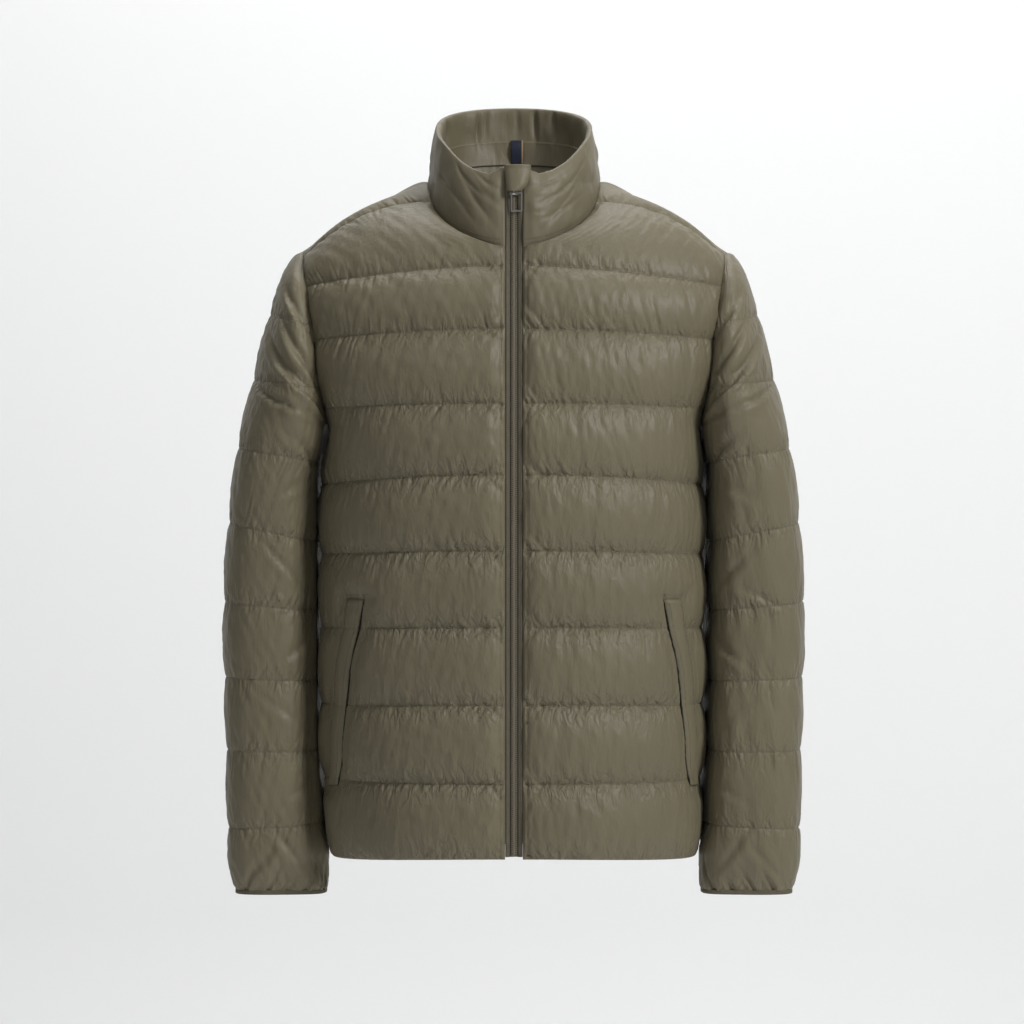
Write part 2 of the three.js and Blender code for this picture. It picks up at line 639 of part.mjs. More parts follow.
function sleevePuff(r, v) {
  const k = SLEEVE_LINES.findIndex((line) => line > r + 1e-6);
  if (k < 1) return 0;
  const s = (r - SLEEVE_LINES[k - 1]) / (SLEEVE_LINES[k] - SLEEVE_LINES[k - 1]);
  const along = k === 1 ? Math.pow(s, 1.8) : s;
  const edge = r < ARMPIT_R ? Math.min(v, 2 - v) * 5 : 1;
  return PUFF_SLEEVE * swell(along) * clamp01(edge);
}
// The sleeve's side towards the body keeps clear of the body's chambers
const heightOf = through([...SIDE_SEAM].map(({ t, z }) => ({ t: z, height: t })), "height");
function bodySideX(y, z) {
  const t = heightOf(z);
  const side = sideSeam(t);
  const middle = y < side[1] ? frontY(t) : backY(t);
  const forward = clamp01((y - side[1]) / (middle - side[1]));
  return side[0] * Math.pow(1 - Math.pow(forward, SQUARENESS), 1 / SQUARENESS);
}
function keptClear([x, y, z], extra) {
  const below = ease((-z - 238) / 26);
  const above = 1 - ease((-z - 690) / 30);
  const clear = PUFF_FRONT - PUFF_SIDE_LOSS + 1 + SLEEVE_CLEARANCE;
  const limit = bodySideX(y, Math.max(z, SIDE_SEAM[0].z)) + clear * below + extra - 60 * (1 - above);
  return [below > 0 ? Math.max(x, limit) : x, y, z];
}

function sleeve() {
  const shares = steps(0, 2, 1 / SLEEVE_HALF_COLUMNS);
  const capRows = PANEL_ROWS.filter((t) => t >= ARMPIT_T).map((t) => SHOULDER_T - t);
  const armRows = [ARMPIT_R + 0.25, ...steps(ARMPIT_R + 0.5, CUFF_R, 0.25)];
  const rows = [...armRows.reverse(), ...capRows];
  const lines = [...SLEEVE_LINES.filter((r) => r > ARMPIT_R)].reverse();
  const innerRows = [...lines, ...INNER_ROWS.filter((t) => t >= ARMPIT_T).map((t) => SHOULDER_T - t)];
  const point = (r, v) => {
    const base = sleeveSurface(r, v);
    const t = SHOULDER_T - r;
    if (r <= ARMPIT_R && (v < 0.001 || v > 1.999 || r === 0)) {
      const armhole = v > 1 ? armholeBack : armholeFront;
      const seam = add(base, armholeAcross(armhole, t), HALF_GAP);
      return { outer: seam, inner: add(seam, armholeNormal(armhole, t), -WALL) };
    }
    const n = sleeveOutward(r, v < 0.001 ? 2 : v);
    const outer = keptClear(add(base, n, sleevePuff(r, v)), 0);
    return { outer, inner: keptClear(add(base, n, -WALL), WALL) };
  };
  const apex = point(0, 0);
  const at = (r, v) => (r === 0 ? apex : point(r, v >= 1.999 && r >= ARMPIT_R ? 0 : v));
  const outer = rows.map((r) => shares.map((v) => at(r, v).outer));
  const inner = innerRows.map((r) => shares.map((v) => at(r, v).inner));
  const armpitRow = rows.indexOf(ARMPIT_R);
  const ends = [armpitRow, rows.length - 1];
  return wall(outer, inner, innerRows.map((r) => rows.indexOf(r)), ends);
}

// Narrow elastic binding round the sleeve end
function cuffBinding() {
  const shares = steps(0, 2, 1 / SLEEVE_HALF_COLUMNS).slice(0, -1);
  const ring = (drop, out) =>
    shares.map((v) => {
      const base = sleeveSurface(CUFF_R, v);
      const n = sleeveOutward(CUFF_R, v < 0.001 ? 2 : v);
      return add(add(base, [n[0], n[1], 0], out), [0, 0, -drop]);
    });
  const { height, wall: thick, proud } = CUFF_BINDING;
  const low = SEAM_GAP + height;
  const outer = [ring(low, proud - 1), ring(low - 1, proud), ring(SEAM_GAP, proud)];
  const inner = [ring(low, 1 - thick), ring(low - 1, -thick), ring(SEAM_GAP, -thick)];
  return band(outer, inner);
}

// Collar by the angle round the neck and the share of its height, +X half
function collarTop(degrees) {
  const a = (degrees * Math.PI) / 180;
  const c = Math.cos(a);
  const s = Math.sin(a);
  return [
    COLLAR_HALF_WIDTH * s,
    COLLAR_TOP_Y - COLLAR_TOP_DEPTH * c,
    COLLAR_TOP_Z - COLLAR_TOP_SLOPE * c + COLLAR_SIDE_RISE * s * s,
  ];
}
function collarPoint(degrees, h, inwards) {
  const radius = NECK_HALF_WIDTH + (COLLAR_HALF_WIDTH - NECK_HALF_WIDTH) * h;
  const first = (Math.asin(COLLAR_END_X / radius) * 180) / Math.PI;
  const open = (90 - first) / (90 - NECK_CORNER_DEG);
  const angle = degrees < 90 && degrees >= NECK_CORNER_DEG - 0.01 ? 90 - (90 - degrees) * open : degrees;
  const base = lerp(neckline(angle), collarTop(angle), h);
  const n = neckNormal(degrees);
  const flat = unit([n[0], n[1], 0]);
  const flatness = 1 - COLLAR_SIDE_FLATNESS * Math.pow(Math.sin((degrees * Math.PI) / 180), 4);
  const out = COLLAR_BULGE * flatness * Math.pow(Math.sin(Math.PI * clamp01(h)), 0.8);
  const way = h === 0 ? n : flat;
  const endShare = degrees <= NECK_CORNER_DEG + 0.01 ? 0 : 1;
  return add(base, [way[0] * endShare, way[1], way[2]], out - inwards);
}
const collarThickness = (h) => COLLAR_EDGE + COLLAR_PADDING * Math.sqrt(1 - Math.pow(h, 4));
const COLLAR_ANGLES = [
  ...PANEL_ROWS.filter((t) => t >= NECK_CORNER_T).map(neckAngle),
  ...steps(90, 180, 90 / NECK_COLUMNS).slice(1),
];
// Whole rows from the -X end round the back to the +X end would face in, so they run from +X to -X
function wholeRound(point) {
  const half = COLLAR_ANGLES.map(point);
  return [...half, ...half.slice(0, -1).map(([x, y, z]) => [-x, y, z]).reverse()];
}
function collar() {
  const row = (h, inwards) =>
    wholeRound((a) => {
      const p = collarPoint(a, h, inwards);
      return h === 0 ? add(p, neckAcross(a), HALF_GAP) : p;
    });
  const outer = COLLAR_HEIGHTS.map((h) => row(h, 0));
  const inner = COLLAR_HEIGHTS.map((h) => row(h, collarThickness(h)));
  return wall(outer, inner, COLLAR_HEIGHTS.map((_, i) => i));
}
function collarFacing() {
  const row = (h, inwards) => wholeRound((a) => collarPoint(a, h, collarThickness(h) + inwards));
  const outer = FACING_HEIGHTS.map((h) => row(h, LAID_ON));
  const inner = FACING_HEIGHTS.map((h) => row(h, LAID_ON + FACING_WALL));
  return wall(outer, inner, FACING_HEIGHTS.map((_, i) => i));
}

// The line of the zip down the front
const zipY = through(
  [...FRONT_ROWS.slice(0, 9).map(({ ny, nz }) => ({ t: nz, y: ny })),
    { t: neckline(NECK_CORNER_DEG)[2], y: neckline(NECK_CORNER_DEG)[1] },
    { t: -30, y: -93 },
    { t: ZIP_Z[1], y: ZIP_TOP_Y }],
  "y",
);
const ZIP_HEIGHTS = steps(ZIP_Z[0], ZIP_Z[1], (ZIP_Z[1] - ZIP_Z[0]) / 36);
// A straight strip between x0 and x1 that follows the zip's line
function zipStrip(x0, x1, setBack, thick) {
  const row = (z, back) => [x0, x1].map((x) => [x, zipY(z) + back, z]);
  const outer = ZIP_HEIGHTS.map((z) => row(z, setBack));
  const inner = ZIP_HEIGHTS.map((z) => row(z, setBack + thick));
  return wall(outer, inner, ZIP_HEIGHTS.map((_, i) => i));
}

// Chin guard: a cloth tab that lies on both collar ends and arches over the slider
function collarFrontY(x, z) {
  const a = (Math.asin(clamp01(Math.abs(x) / NECK_HALF_WIDTH)) * 180) / Math.PI;
  let low = 0;
  let high = 1;
  for (let i = 0; i < 20; i++) {
    const mid = (low + high) / 2;
    if (collarPoint(a, mid, 0)[2] < z) low = mid;
    else high = mid;
  }
  return collarPoint(a, low, 0)[1];
}
function chinGuard() {
  const row = ({ z, left, right }, out) =>
    steps(0, 1, 1 / GUARD_COLUMNS).map((u) => {
      const x = left + (right - left) * u;
      const arch = GUARD_ARCH * Math.pow(Math.sin(Math.PI * u), 0.7);
      return [x, collarFrontY(x, Math.min(z, 9)) - LAID_ON - arch - out, z];
    });
  const outer = GUARD_ROWS.map((g) => row(g, GUARD_WALL));
  const inner = GUARD_ROWS.map((g) => row(g, 0));
  return wall(outer, inner, GUARD_ROWS.map((_, i) => i));
}

// Pocket welt: a folded strip of cloth, made from the front's points and moved out
function pocketWelt() {
  const rows = steps(0, Math.round((WELT_T[1] - WELT_T[0]) / WELT_STEP), 1).map((i) =>
    Math.min(WELT_T[1], Math.round((WELT_T[0] + i * WELT_STEP) / WELT_STEP) * WELT_STEP),
  );
  const columns = [0, 0.12, 0.5, 0.88, 1];
  const height = [0.55, 1, 1, 1, 0.55];
  const row = (t, share) => {
    const [from, to] = weltShares(Math.min(WELT_T[1], Math.max(WELT_T[0], t)));
    return columns.map((c, j) => {
      const u = from + (to - from) * c;
      const out = LAID_ON + 0.3 + share * WELT_THICK * height[j];
      return add(frontOuter(t, u), outward(frontSurface, t, u, 1), out);
    });
  };
  const at = rows.map((_, i) => i);
  return wall(rows.map((t) => row(t, 1)), rows.map((t) => row(t, 0)), at);
}

// Short woven tape inside the back of the neck, both ends close to the facing
function hangerLoop() {
  const heights = steps(LOOP.bottom, LOOP.top, (LOOP.top - LOOP.bottom) / 6);
  const facing = (angle, h) => collarPoint(angle, h, collarThickness(h) + LAID_ON + FACING_WALL);
  const backFace = (x, z) => {
    const [low, high] = [neckline(180), collarTop(180)];
    const h = (z - low[2]) / (high[2] - low[2]);
    const [middle, next] = [facing(180, h), facing(180 - 90 / NECK_COLUMNS, h)];
    return middle[1] + ((next[1] - middle[1]) * Math.abs(x)) / next[0];
  };
  const row = (z, out) => {
    const arch = LOOP.arch * Math.sin((Math.PI * (z - LOOP.bottom)) / (LOOP.top - LOOP.bottom));
    return [LOOP.left, LOOP.right].map((x) => [x, backFace(x, z) - LAID_ON - arch - out, z]);
  };
  const at = heights.map((_, i) => i);
  return wall(heights.map((z) => row(z, LOOP.wall)), heights.map((z) => row(z, 0)), at);
}

// Joins closed geometries into one
const wasm = await Module();
wasm.setup();
function joined(...geometries) {
  const solids = geometries.map((g) => {
    g.deleteAttribute("normal");
    g.deleteAttribute("uv");
    const merged = mergeVertices(g);
    const vertProperties = merged.attributes.position.array;
    return new wasm.Manifold(
      new wasm.Mesh({ numProp: 3, vertProperties, triVerts: new Uint32Array(merged.index.array) }),
    );
  });
  const { vertProperties, triVerts } = solids.reduce((a, b) => a.add(b)).getMesh();
  const corner = (i) => Array.from(vertProperties.subarray(3 * i, 3 * i + 3));
  return Array.from({ length: triVerts.length / 3 }, (_, f) =>
    [0, 1, 2].map((k) => corner(triVerts[3 * f + k])),
  );
}

// Slider: a plate on the chain, with a ring on its lower end that carries the pull
const plateBack = zipY(SLIDER.bottom) + CHAIN_SET_BACK - SEAM_GAP;
const HINGE = [0, plateBack - SLIDER.thick - BAIL.out, BAIL.z];
function slider() {
  const height = SLIDER.top - SLIDER.bottom;
  const plate = new THREE.BoxGeometry(SLIDER.width, SLIDER.thick, height);
  plate.translate(0, plateBack - SLIDER.thick / 2, SLIDER.bottom + height / 2);
  const outline = new THREE.Shape().absarc(0, 0, BAIL.outer, 0, 2 * Math.PI);
  outline.holes.push(new THREE.Path().absarc(0, 0, BAIL.hole, 0, 2 * Math.PI, true));
  const extrusion = { depth: BAIL.width, bevelEnabled: false, curveSegments: BAIL.sides };
  const ring = new THREE.ExtrudeGeometry(outline, extrusion);
  ring.translate(0, 0, -BAIL.width / 2);
  ring.rotateY(Math.PI / 2);
  ring.translate(...HINGE);
  return joined(plate, ring);
}

// Pull: a flat metal frame whose top bar hangs in the slider's ring
function pullTab() {
  const half = PULL.width / 2;
  const top = PULL.rim / 2;
  const low = top - PULL.length;
  const c = PULL.corner;
  const outline = new THREE.Shape()
    .moveTo(-half, top)
    .lineTo(-half, low + c)
    .quadraticCurveTo(-half, low, -half + c, low)
    .lineTo(half - c, low)
    .quadraticCurveTo(half, low, half, low + c)
    .lineTo(half, top)
    .closePath();
  const inside = half - PULL.rim;
  outline.holes.push(
    new THREE.Path()
      .moveTo(-inside, top - PULL.rim)
      .lineTo(inside, top - PULL.rim)
      .lineTo(inside, low + PULL.rim)
      .lineTo(-inside, low + PULL.rim)
      .closePath(),
  );
  const frame = new THREE.ExtrudeGeometry(outline, { depth: PULL.thick, bevelEnabled: false, curveSegments: 3 });
  frame.translate(PULL.centreX, 0, -PULL.thick / 2);
  frame.rotateX(Math.PI / 2);
  frame.translate(...HINGE);
  return joined(frame);
}

pair("front", frontPanel(), OLIVE);
piece("back", backPanel(), OLIVE);
pair("sleeve", sleeve(), OLIVE);
pair("cuff_binding", cuffBinding(), OLIVE_DARK, 0.8);
piece("collar", collar(), OLIVE);
piece("collar_facing", collarFacing(), OLIVE);
pair("zip_tape", zipStrip(TAPE_INNER_X, TAPE_OUTER_X, TAPE_SET_BACK, TAPE_THICK), OLIVE_DARK, 0.8);
piece("zip_teeth", zipStrip(-CHAIN_HALF_WIDTH, CHAIN_HALF_WIDTH, CHAIN_SET_BACK, CHAIN_THICK), OLIVE_DARK, 0.5);
piece("zip_slider", slider(), METAL, 0.35, 0.9);
piece("zip_pull", pullTab(), METAL, 0.3, 0.9);
piece("chin_guard", chinGuard(), OLIVE);
pair("pocket_welt", pocketWelt(), OLIVE);
piece("hanger_loop", hangerLoop(), NAVY, 0.85);

export default group;
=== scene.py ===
import bpy
import numpy as np
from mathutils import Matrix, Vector


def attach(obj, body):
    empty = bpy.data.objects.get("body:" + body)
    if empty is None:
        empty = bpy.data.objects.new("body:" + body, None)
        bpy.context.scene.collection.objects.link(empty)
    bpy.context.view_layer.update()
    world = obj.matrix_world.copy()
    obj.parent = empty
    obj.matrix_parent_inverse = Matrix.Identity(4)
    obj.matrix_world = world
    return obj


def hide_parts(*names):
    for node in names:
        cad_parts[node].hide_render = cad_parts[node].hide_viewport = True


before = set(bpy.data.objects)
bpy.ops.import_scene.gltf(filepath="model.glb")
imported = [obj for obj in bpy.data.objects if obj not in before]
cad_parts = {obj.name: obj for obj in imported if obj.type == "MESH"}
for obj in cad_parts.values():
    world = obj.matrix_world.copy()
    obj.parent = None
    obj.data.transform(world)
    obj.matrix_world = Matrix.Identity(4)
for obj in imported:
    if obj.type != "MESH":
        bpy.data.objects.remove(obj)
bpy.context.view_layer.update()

# Fronts
# Two quilted nylon panels with polyester filling, sewn to the back at the side and shoulder seams and to the
# zip tapes along the middle. Each chamber lies between two lines of stitching.
MM = 0.001
WALL = 2.5
NECK = {"half": 90.0, "y": 5.0, "z": 3.0, "front": (101.0, 76.0), "back": (75.0, 17.0)}
SHOULDER_POINT = np.array([223.0, 4.0, -70.0])
ARMPIT_T, CORNER_T, NECK_LINE_T = 5.75, 8.25, 9.0
CORNER_DEG = np.degrees(np.arcsin(9 / 90))
NECK_LINE_DEG = 73.0
SQUARENESS = 2.3
FRONT_ROWS = np.array([
    # t, y and z of the front edge, sweep, fall
    [0, -137, -695.5, 90, 2], [1, -137, -619.5, 90, 2], [2, -136, -539.5, 90, 2], [3, -137, -460.5, 90, 2],
    [4, -139, -382.5, 90, 2], [5, -141, -305.5, 90, 2], [6, -137, -232.6, 76, 1.6],
    [7, -126, -156.6, 64, 1.6], [8, -105, -91, 62, 1.6], [9, -24.5, -19.2, 60, 2.2]])
SIDE_SEAM = [[0, 190, 4, -702], [1, 192, 4, -620], [2, 194, 4, -543], [3, 194, 4, -463], [4, 194, 4, -387],
             [5, 194, 4, -314], [5.75, 194, 4, -255]]
ARMHOLE_FRONT = [[5.75, 194, 4, -255], [5.875, 195.5, -20, -249], [6, 198, -38, -236], [6.5, 203, -56, -199],
                 [7, 206, -62, -165], [8, 215, -48, -109], [9, 220, -14, -77.5], [10, *SHOULDER_POINT]]
CHAMBER = 77
BODY_ROWS_A_CHAMBER = 26
FRONT_COLUMNS = 92


def curve(knots):
    """Cubic curve through knots (parameter, values...), sloping as the parabola through three knots."""
    k = np.asarray(knots, float)
    x, p = k[:, 0], k[:, 1:]
    d = np.diff(x)
    rise = np.diff(p, axis=0) / d[:, None]
    inner = (rise[:-1] * d[1:, None] + rise[1:] * d[:-1, None]) / (d[1:] + d[:-1])[:, None]
    slope = np.vstack([rise[:1], inner, rise[-1:]])

    def at(v):
        v = np.asarray(v, float)
        i = np.clip(np.searchsorted(x, v, side="right") - 1, 0, len(d) - 1)
        h = d[i][..., None]
        s = np.clip((v - x[i])[..., None] / h, 0, 1)
        return ((2 * s**3 - 3 * s**2 + 1) * p[i] + (s**3 - 2 * s**2 + s) * h * slope[i]
                + (3 * s**2 - 2 * s**3) * p[i + 1] + (s**3 - s**2) * h * slope[i + 1])
    return at


def ease(v):
    """Smooth step: 3 v squared less 2 v cubed, held at 0 below 0 and at 1 above 1."""
    v = np.clip(v, 0, 1)
    return v * v * (3 - 2 * v)


def unit(v):
    """Vectors of length 1 along the given ones."""
    return v / np.maximum(np.linalg.norm(v, axis=-1, keepdims=True), 1e-9)


def neckline(degrees):
    """Neck seam by the angle round the neck (0 at the zip, 90 at the shoulder, 180 at the nape): an ellipse,
    deeper in front than behind, that rises with the cosine of the angle from the front to the back."""
    a = np.radians(degrees)
    c, s = np.cos(a), np.sin(a)
    depth = np.where(c > 0, NECK["front"][0], NECK["back"][0])
    rise = np.where(c > 0, NECK["front"][1], NECK["back"][1])
    return np.stack([NECK["half"] * s, NECK["y"] - depth * c, NECK["z"] - rise * c], -1)


def neck_angle(t):
    """Angle on the neck seam at each t: straight lines from the corner to the neck line to the shoulder."""
    low = CORNER_DEG + (NECK_LINE_DEG - CORNER_DEG) * (t - CORNER_T) / (NECK_LINE_T - CORNER_T)
    return np.where(t <= NECK_LINE_T, low, NECK_LINE_DEG + (90 - NECK_LINE_DEG) * (t - NECK_LINE_T))


def shoulder(share):
    """Shoulder seam from the neck (0) to the shoulder point (1): a straight run whose height falls by a power
    of the share, with a low pad that is highest close to the neck."""
    share = np.asarray(share, float)
    neck = neckline(90)
    p = neck + (SHOULDER_POINT - neck) * share[..., None]
    past = share / 0.14
    pad = 4 * past * np.exp(1 - past) * (1 - share)
    p[..., 2] = neck[2] + (SHOULDER_POINT[2] - neck[2]) * share**1.15 + pad
    return p


def quilt_row(start, end, sweep, fall, u):
    """A quilt line round the body: part of a squared ellipse from start (u 0) to end (u 1), which falls by
    a power of the way across."""
    def on(angle):
        s, c = np.sin(angle), np.maximum(np.cos(angle), 0)
        r = (s**SQUARENESS + c**SQUARENESS) ** (-1 / SQUARENESS)
        return r * s, r * c
    last = np.radians(sweep)
    x, y = on(u * last)
    x_end, y_end = on(last)
    across, forward = x / x_end, (y - y_end) / (1 - y_end)
    return np.stack([start[0] + (end[0] - start[0]) * across, end[1] + (start[1] - end[1]) * forward,
                     start[2] + (end[2] - start[2]) * across**fall], -1)


def panel_surface(rows, middle, side, t, u):
    """Seam surface of a panel at every t and u: its quilt rows (a list of 11) joined by a smooth cubic
    along t, then moved so that u 0 and u 1 lie exactly on the middle and side edges."""
    rows = np.stack([2 * rows[0] - rows[1], *rows, 2 * rows[10] - rows[9]])
    k = np.minimum(9, np.floor(t).astype(int))
    s = (t - k)[:, None, None]
    before, a, b, after = rows[k], rows[k + 1], rows[k + 2], rows[k + 3]
    p = ((2 * s**3 - 3 * s**2 + 1) * a + (s**3 - 2 * s**2 + s) * (b - before) / 2
         + (3 * s**2 - 2 * s**3) * b + (s**3 - s**2) * (after - a) / 2)
    w = u[None, :, None]
    power = 3 + 5 * np.exp(-((t - ARMPIT_T) / 0.5)**2)[:, None, None]
    return p + (middle(t)[:, None] - p[:, :1]) * (1 - w)**3 + (side(t)[:, None] - p[:, -1:]) * w**power


def normals(p):
    """Unit normals of a grid of points from the steps along its two directions."""
    return unit(np.cross(np.gradient(p, axis=1), np.gradient(p, axis=0)))


def chamber_rows(lines, count, fixed=()):
    """Row parameters between quilt lines, closer together near the stitching."""
    s = np.arange(count) / count
    s = s - 0.09 * np.sin(2 * np.pi * s)
    t = np.concatenate([a + (b - a) * s for a, b in zip(lines[:-1], lines[1:])] + [lines[-1:]])
    for f in fixed:
        t[np.argmin(abs(t - f))] = f
    return t


def waves(p, rng, length, count, slant=None):
    """Smooth random field: the sum of plane waves of about the given length, in about -1 to 1."""
    out = 0
    for _ in range(count):
        d = rng.normal(size=3)
        if slant is not None:
            d = d * slant
        d = d / np.linalg.norm(d) * 2 * np.pi / (length * rng.uniform(0.6, 1.7))
        out = out + np.sin(p @ d + rng.uniform(0, 2 * np.pi))
    return out / np.sqrt(count)


def swell(s, power=0.8):
    """Height of a filled chamber from one seam (s 0) to the next (s 1): a parabola raised to a power."""
    return np.clip(4 * s * (1 - s), 0, 1) ** power


def sheet_mesh(name, p):
    """Open mesh of a grid of points."""
    n, m = p.shape[:2]
    i = np.arange(n * m).reshape(n, m)
    quads = np.stack([i[:-1, :-1], i[:-1, 1:], i[1:, 1:], i[1:, :-1]], -1).reshape(-1, 4)
    mesh = bpy.data.meshes.new(name)
    mesh.from_pydata((p.reshape(-1, 3) * MM).tolist(), [], quads.tolist())
    return mesh


def inflated(p, held, growth, pressure, frames=16):
    """The sheet after a short cloth simulation: it is sewn down where held is 1, grown by the share given
    for each point so that it puckers along the stitching, and blown out along its normals."""
    mesh = sheet_mesh("cloth", p)
    obj = bpy.data.objects.new("cloth", mesh)
    bpy.context.scene.collection.objects.link(obj)
    pins = obj.vertex_groups.new(name="held")
    pins.add(np.flatnonzero(held.ravel() > 0.5).tolist(), 1.0, "REPLACE")
    growth = np.broadcast_to(growth, held.shape).ravel()
    most = growth.max()
    fuller = obj.vertex_groups.new(name="growth")
    step = np.round(growth / most * 12).astype(int)
    for k in range(1, 13):
        fuller.add(np.flatnonzero(step == k).tolist(), k / 12, "REPLACE")
    modifier = obj.modifiers.new("cloth", "CLOTH")
    cloth = modifier.settings
    cloth.quality = 4
    cloth.mass = 0.15
    cloth.air_damping = 1
    cloth.tension_stiffness = cloth.compression_stiffness = 12
    cloth.shear_stiffness = 4
    cloth.bending_stiffness = 0.08
    cloth.tension_damping = cloth.compression_damping = cloth.shear_damping = 8
    cloth.bending_damping = 0.6
    cloth.vertex_group_mass = "held"
    cloth.pin_stiffness = 1
    cloth.vertex_group_shrink = "growth"
    cloth.shrink_min = 0
    cloth.shrink_max = -most
    cloth.use_pressure = True
    cloth.uniform_pressure_force = pressure
    cloth.effector_weights.gravity = 0
    modifier.point_cache.frame_start = 1
    modifier.point_cache.frame_end = frames
    for f in range(1, frames + 1):
        bpy.context.scene.frame_set(f)
    made = obj.evaluated_get(bpy.context.evaluated_depsgraph_get()).to_mesh()
    out = np.empty(len(made.vertices) * 3, np.float32)
    made.vertices.foreach_get("co", out)
    bpy.data.objects.remove(obj)
    bpy.data.meshes.remove(mesh)
    bpy.context.scene.frame_set(1)
    return out.reshape(p.shape).astype(float) / MM


def shell(name, outer, inner, step=4, gather=None):
    """Closed cloth shell: a fine outer grid, a coarse inner grid of some of its rows and columns, and rims.
    gather, if given, is how strongly each outer row is bunched by its stitching, kept as an attribute."""
    n, m = outer.shape[:2]
    r = np.unique(np.append(np.arange(0, n, step), n - 1))
    c = np.unique(np.append(np.arange(0, m, step), m - 1))
    inside = inner[np.ix_(r, c)]
    a = np.arange(n * m).reshape(n, m)
    b = n * m + np.arange(len(r) * len(c)).reshape(len(r), len(c))
    faces = np.stack([a[:-1, :-1], a[:-1, 1:], a[1:, 1:], a[1:, :-1]], -1).reshape(-1, 4).tolist()
    faces += np.stack([b[:-1, :-1], b[1:, :-1], b[1:, 1:], b[:-1, 1:]], -1).reshape(-1, 4).tolist()
    for k in range(len(c) - 1):
        j, e = c[k], c[k + 1]
        faces.append([*a[0, j:e + 1][::-1], b[0, k], b[0, k + 1]])
        faces.append([*a[-1, j:e + 1], b[-1, k + 1], b[-1, k]])
    for k in range(len(r) - 1):
        j, e = r[k], r[k + 1]
        faces.append([*a[j:e + 1, 0], b[k + 1, 0], b[k, 0]])
        faces.append([*a[j:e + 1, -1][::-1], b[k, -1], b[k + 1, -1]])
    points = np.concatenate([outer.reshape(-1, 3), inside.reshape(-1, 3)]) * MM
    mesh = bpy.data.meshes.new(name)
    mesh.from_pydata(points.tolist(), [], [[int(v) for v in f] for f in faces])
    mesh.shade_smooth()
    if gather is not None:
        values = np.zeros(len(points))
        values[:n * m] = np.repeat(gather, m)
        mesh.attributes.new("gather", "FLOAT", "POINT").data.foreach_set("value", values)
    obj = bpy.data.objects.new(name, mesh)
    bpy.context.scene.collection.objects.link(obj)
    return obj


def bunched(row, lines):
    """How strongly the cloth is bunched on each row: most on the quilt lines, fading with the distance."""
    d = abs(row[:, None] - np.asarray(lines)[None]).min(axis=1) * CHAMBER
    return 0.15 + 0.85 * np.exp(-(d / 14)**1.5)


def add_nodes(material, spec):
    """Makes a material's nodes from (name, type, settings, inputs). An input is a value or (node, output)."""
    tree = material.node_tree
    made = {n.name: n for n in tree.nodes}
    for name, kind, settings, inputs in spec:
        node = made[name] if name in made else tree.nodes.new(kind)
        node.name = name
        made[name] = node
        for key, value in settings.items():
            setattr(node, key, value)
        for key, value in inputs.items():
            if isinstance(value, tuple) and isinstance(value[0], str):
                tree.links.new(made[value[0]].outputs[value[1]], node.inputs[key])
            else:
                node.inputs[key].default_value = value
    return made


def nylon(name, colour):
    """Fine woven nylon: soft tone changes, a plain weave, shallow creases that run mostly upright, and fine
    puckers where the piece's own gather attribute says that its stitching bunches it."""
    material = bpy.data.materials.new(name)
    material.use_nodes = True
    dark = tuple(v * 0.82 for v in colour) + (1,)
    light = tuple(min(1, v * 1.12) for v in colour) + (1,)
    add_nodes(material, [
        ("place", "ShaderNodeTexCoord", {}, {}),
        ("upright", "ShaderNodeMapping", {}, {"Vector": ("place", "Object"), "Scale": (1.0, 1.0, 0.35)}),
        ("tone", "ShaderNodeTexNoise", {}, {"Vector": ("upright", "Vector"), "Scale": 16.0, "Detail": 5.0}),
        ("colour", "ShaderNodeMix", {"data_type": "RGBA"}, {"Factor": ("tone", "Fac")}),
        ("creases", "ShaderNodeTexNoise", {}, {"Vector": ("upright", "Vector"), "Scale": 110.0, "Detail": 3.0,
                                               "Roughness": 0.5, "Distortion": 0.6}),
        ("folds", "ShaderNodeTexNoise", {}, {"Vector": ("upright", "Vector"), "Scale": 38.0, "Detail": 2.0,
                                             "Distortion": 0.8}),
        ("gather", "ShaderNodeAttribute", {"attribute_name": "gather"}, {}),
        ("puckers", "ShaderNodeTexNoise", {}, {"Vector": ("upright", "Vector"), "Scale": 150.0, "Detail": 2.0,
                                               "Roughness": 0.4, "Distortion": 1.3}),
        ("weave", "ShaderNodeTexNoise", {}, {"Vector": ("place", "Object"), "Scale": 2400.0, "Detail": 1.0}),
        ("fine", "ShaderNodeBump", {}, {"Height": ("weave", "Fac"), "Strength": 0.25, "Distance": 0.00012}),
        ("middle", "ShaderNodeBump", {}, {"Height": ("creases", "Fac"), "Strength": 0.5, "Distance": 0.0016,
                                          "Normal": ("fine", "Normal")}),
        ("broad", "ShaderNodeBump", {}, {"Height": ("folds", "Fac"), "Strength": 0.3, "Distance": 0.003,
                                         "Normal": ("middle", "Normal")}),
        ("bunch", "ShaderNodeBump", {}, {"Height": ("puckers", "Fac"), "Strength": ("gather", "Fac"),
                                         "Distance": 0.0042, "Normal": ("broad", "Normal")}),
    ])
    tree = material.node_tree
    mix = tree.nodes["colour"]
    mix.inputs[6].default_value = dark
    mix.inputs[7].default_value = light
    shader = tree.nodes["Principled BSDF"]
    tree.links.new(mix.outputs[2], shader.inputs["Base Color"])
    tree.links.new(tree.nodes["bunch"].outputs["Normal"], shader.inputs["Normal"])
    shader.inputs["Roughness"].default_value = 0.5
    shader.inputs["Specular IOR Level"].default_value = 0.38
    shader.inputs["Sheen Weight"].default_value = 0.05
    shader.inputs["Sheen Roughness"].default_value = 0.4
    return material


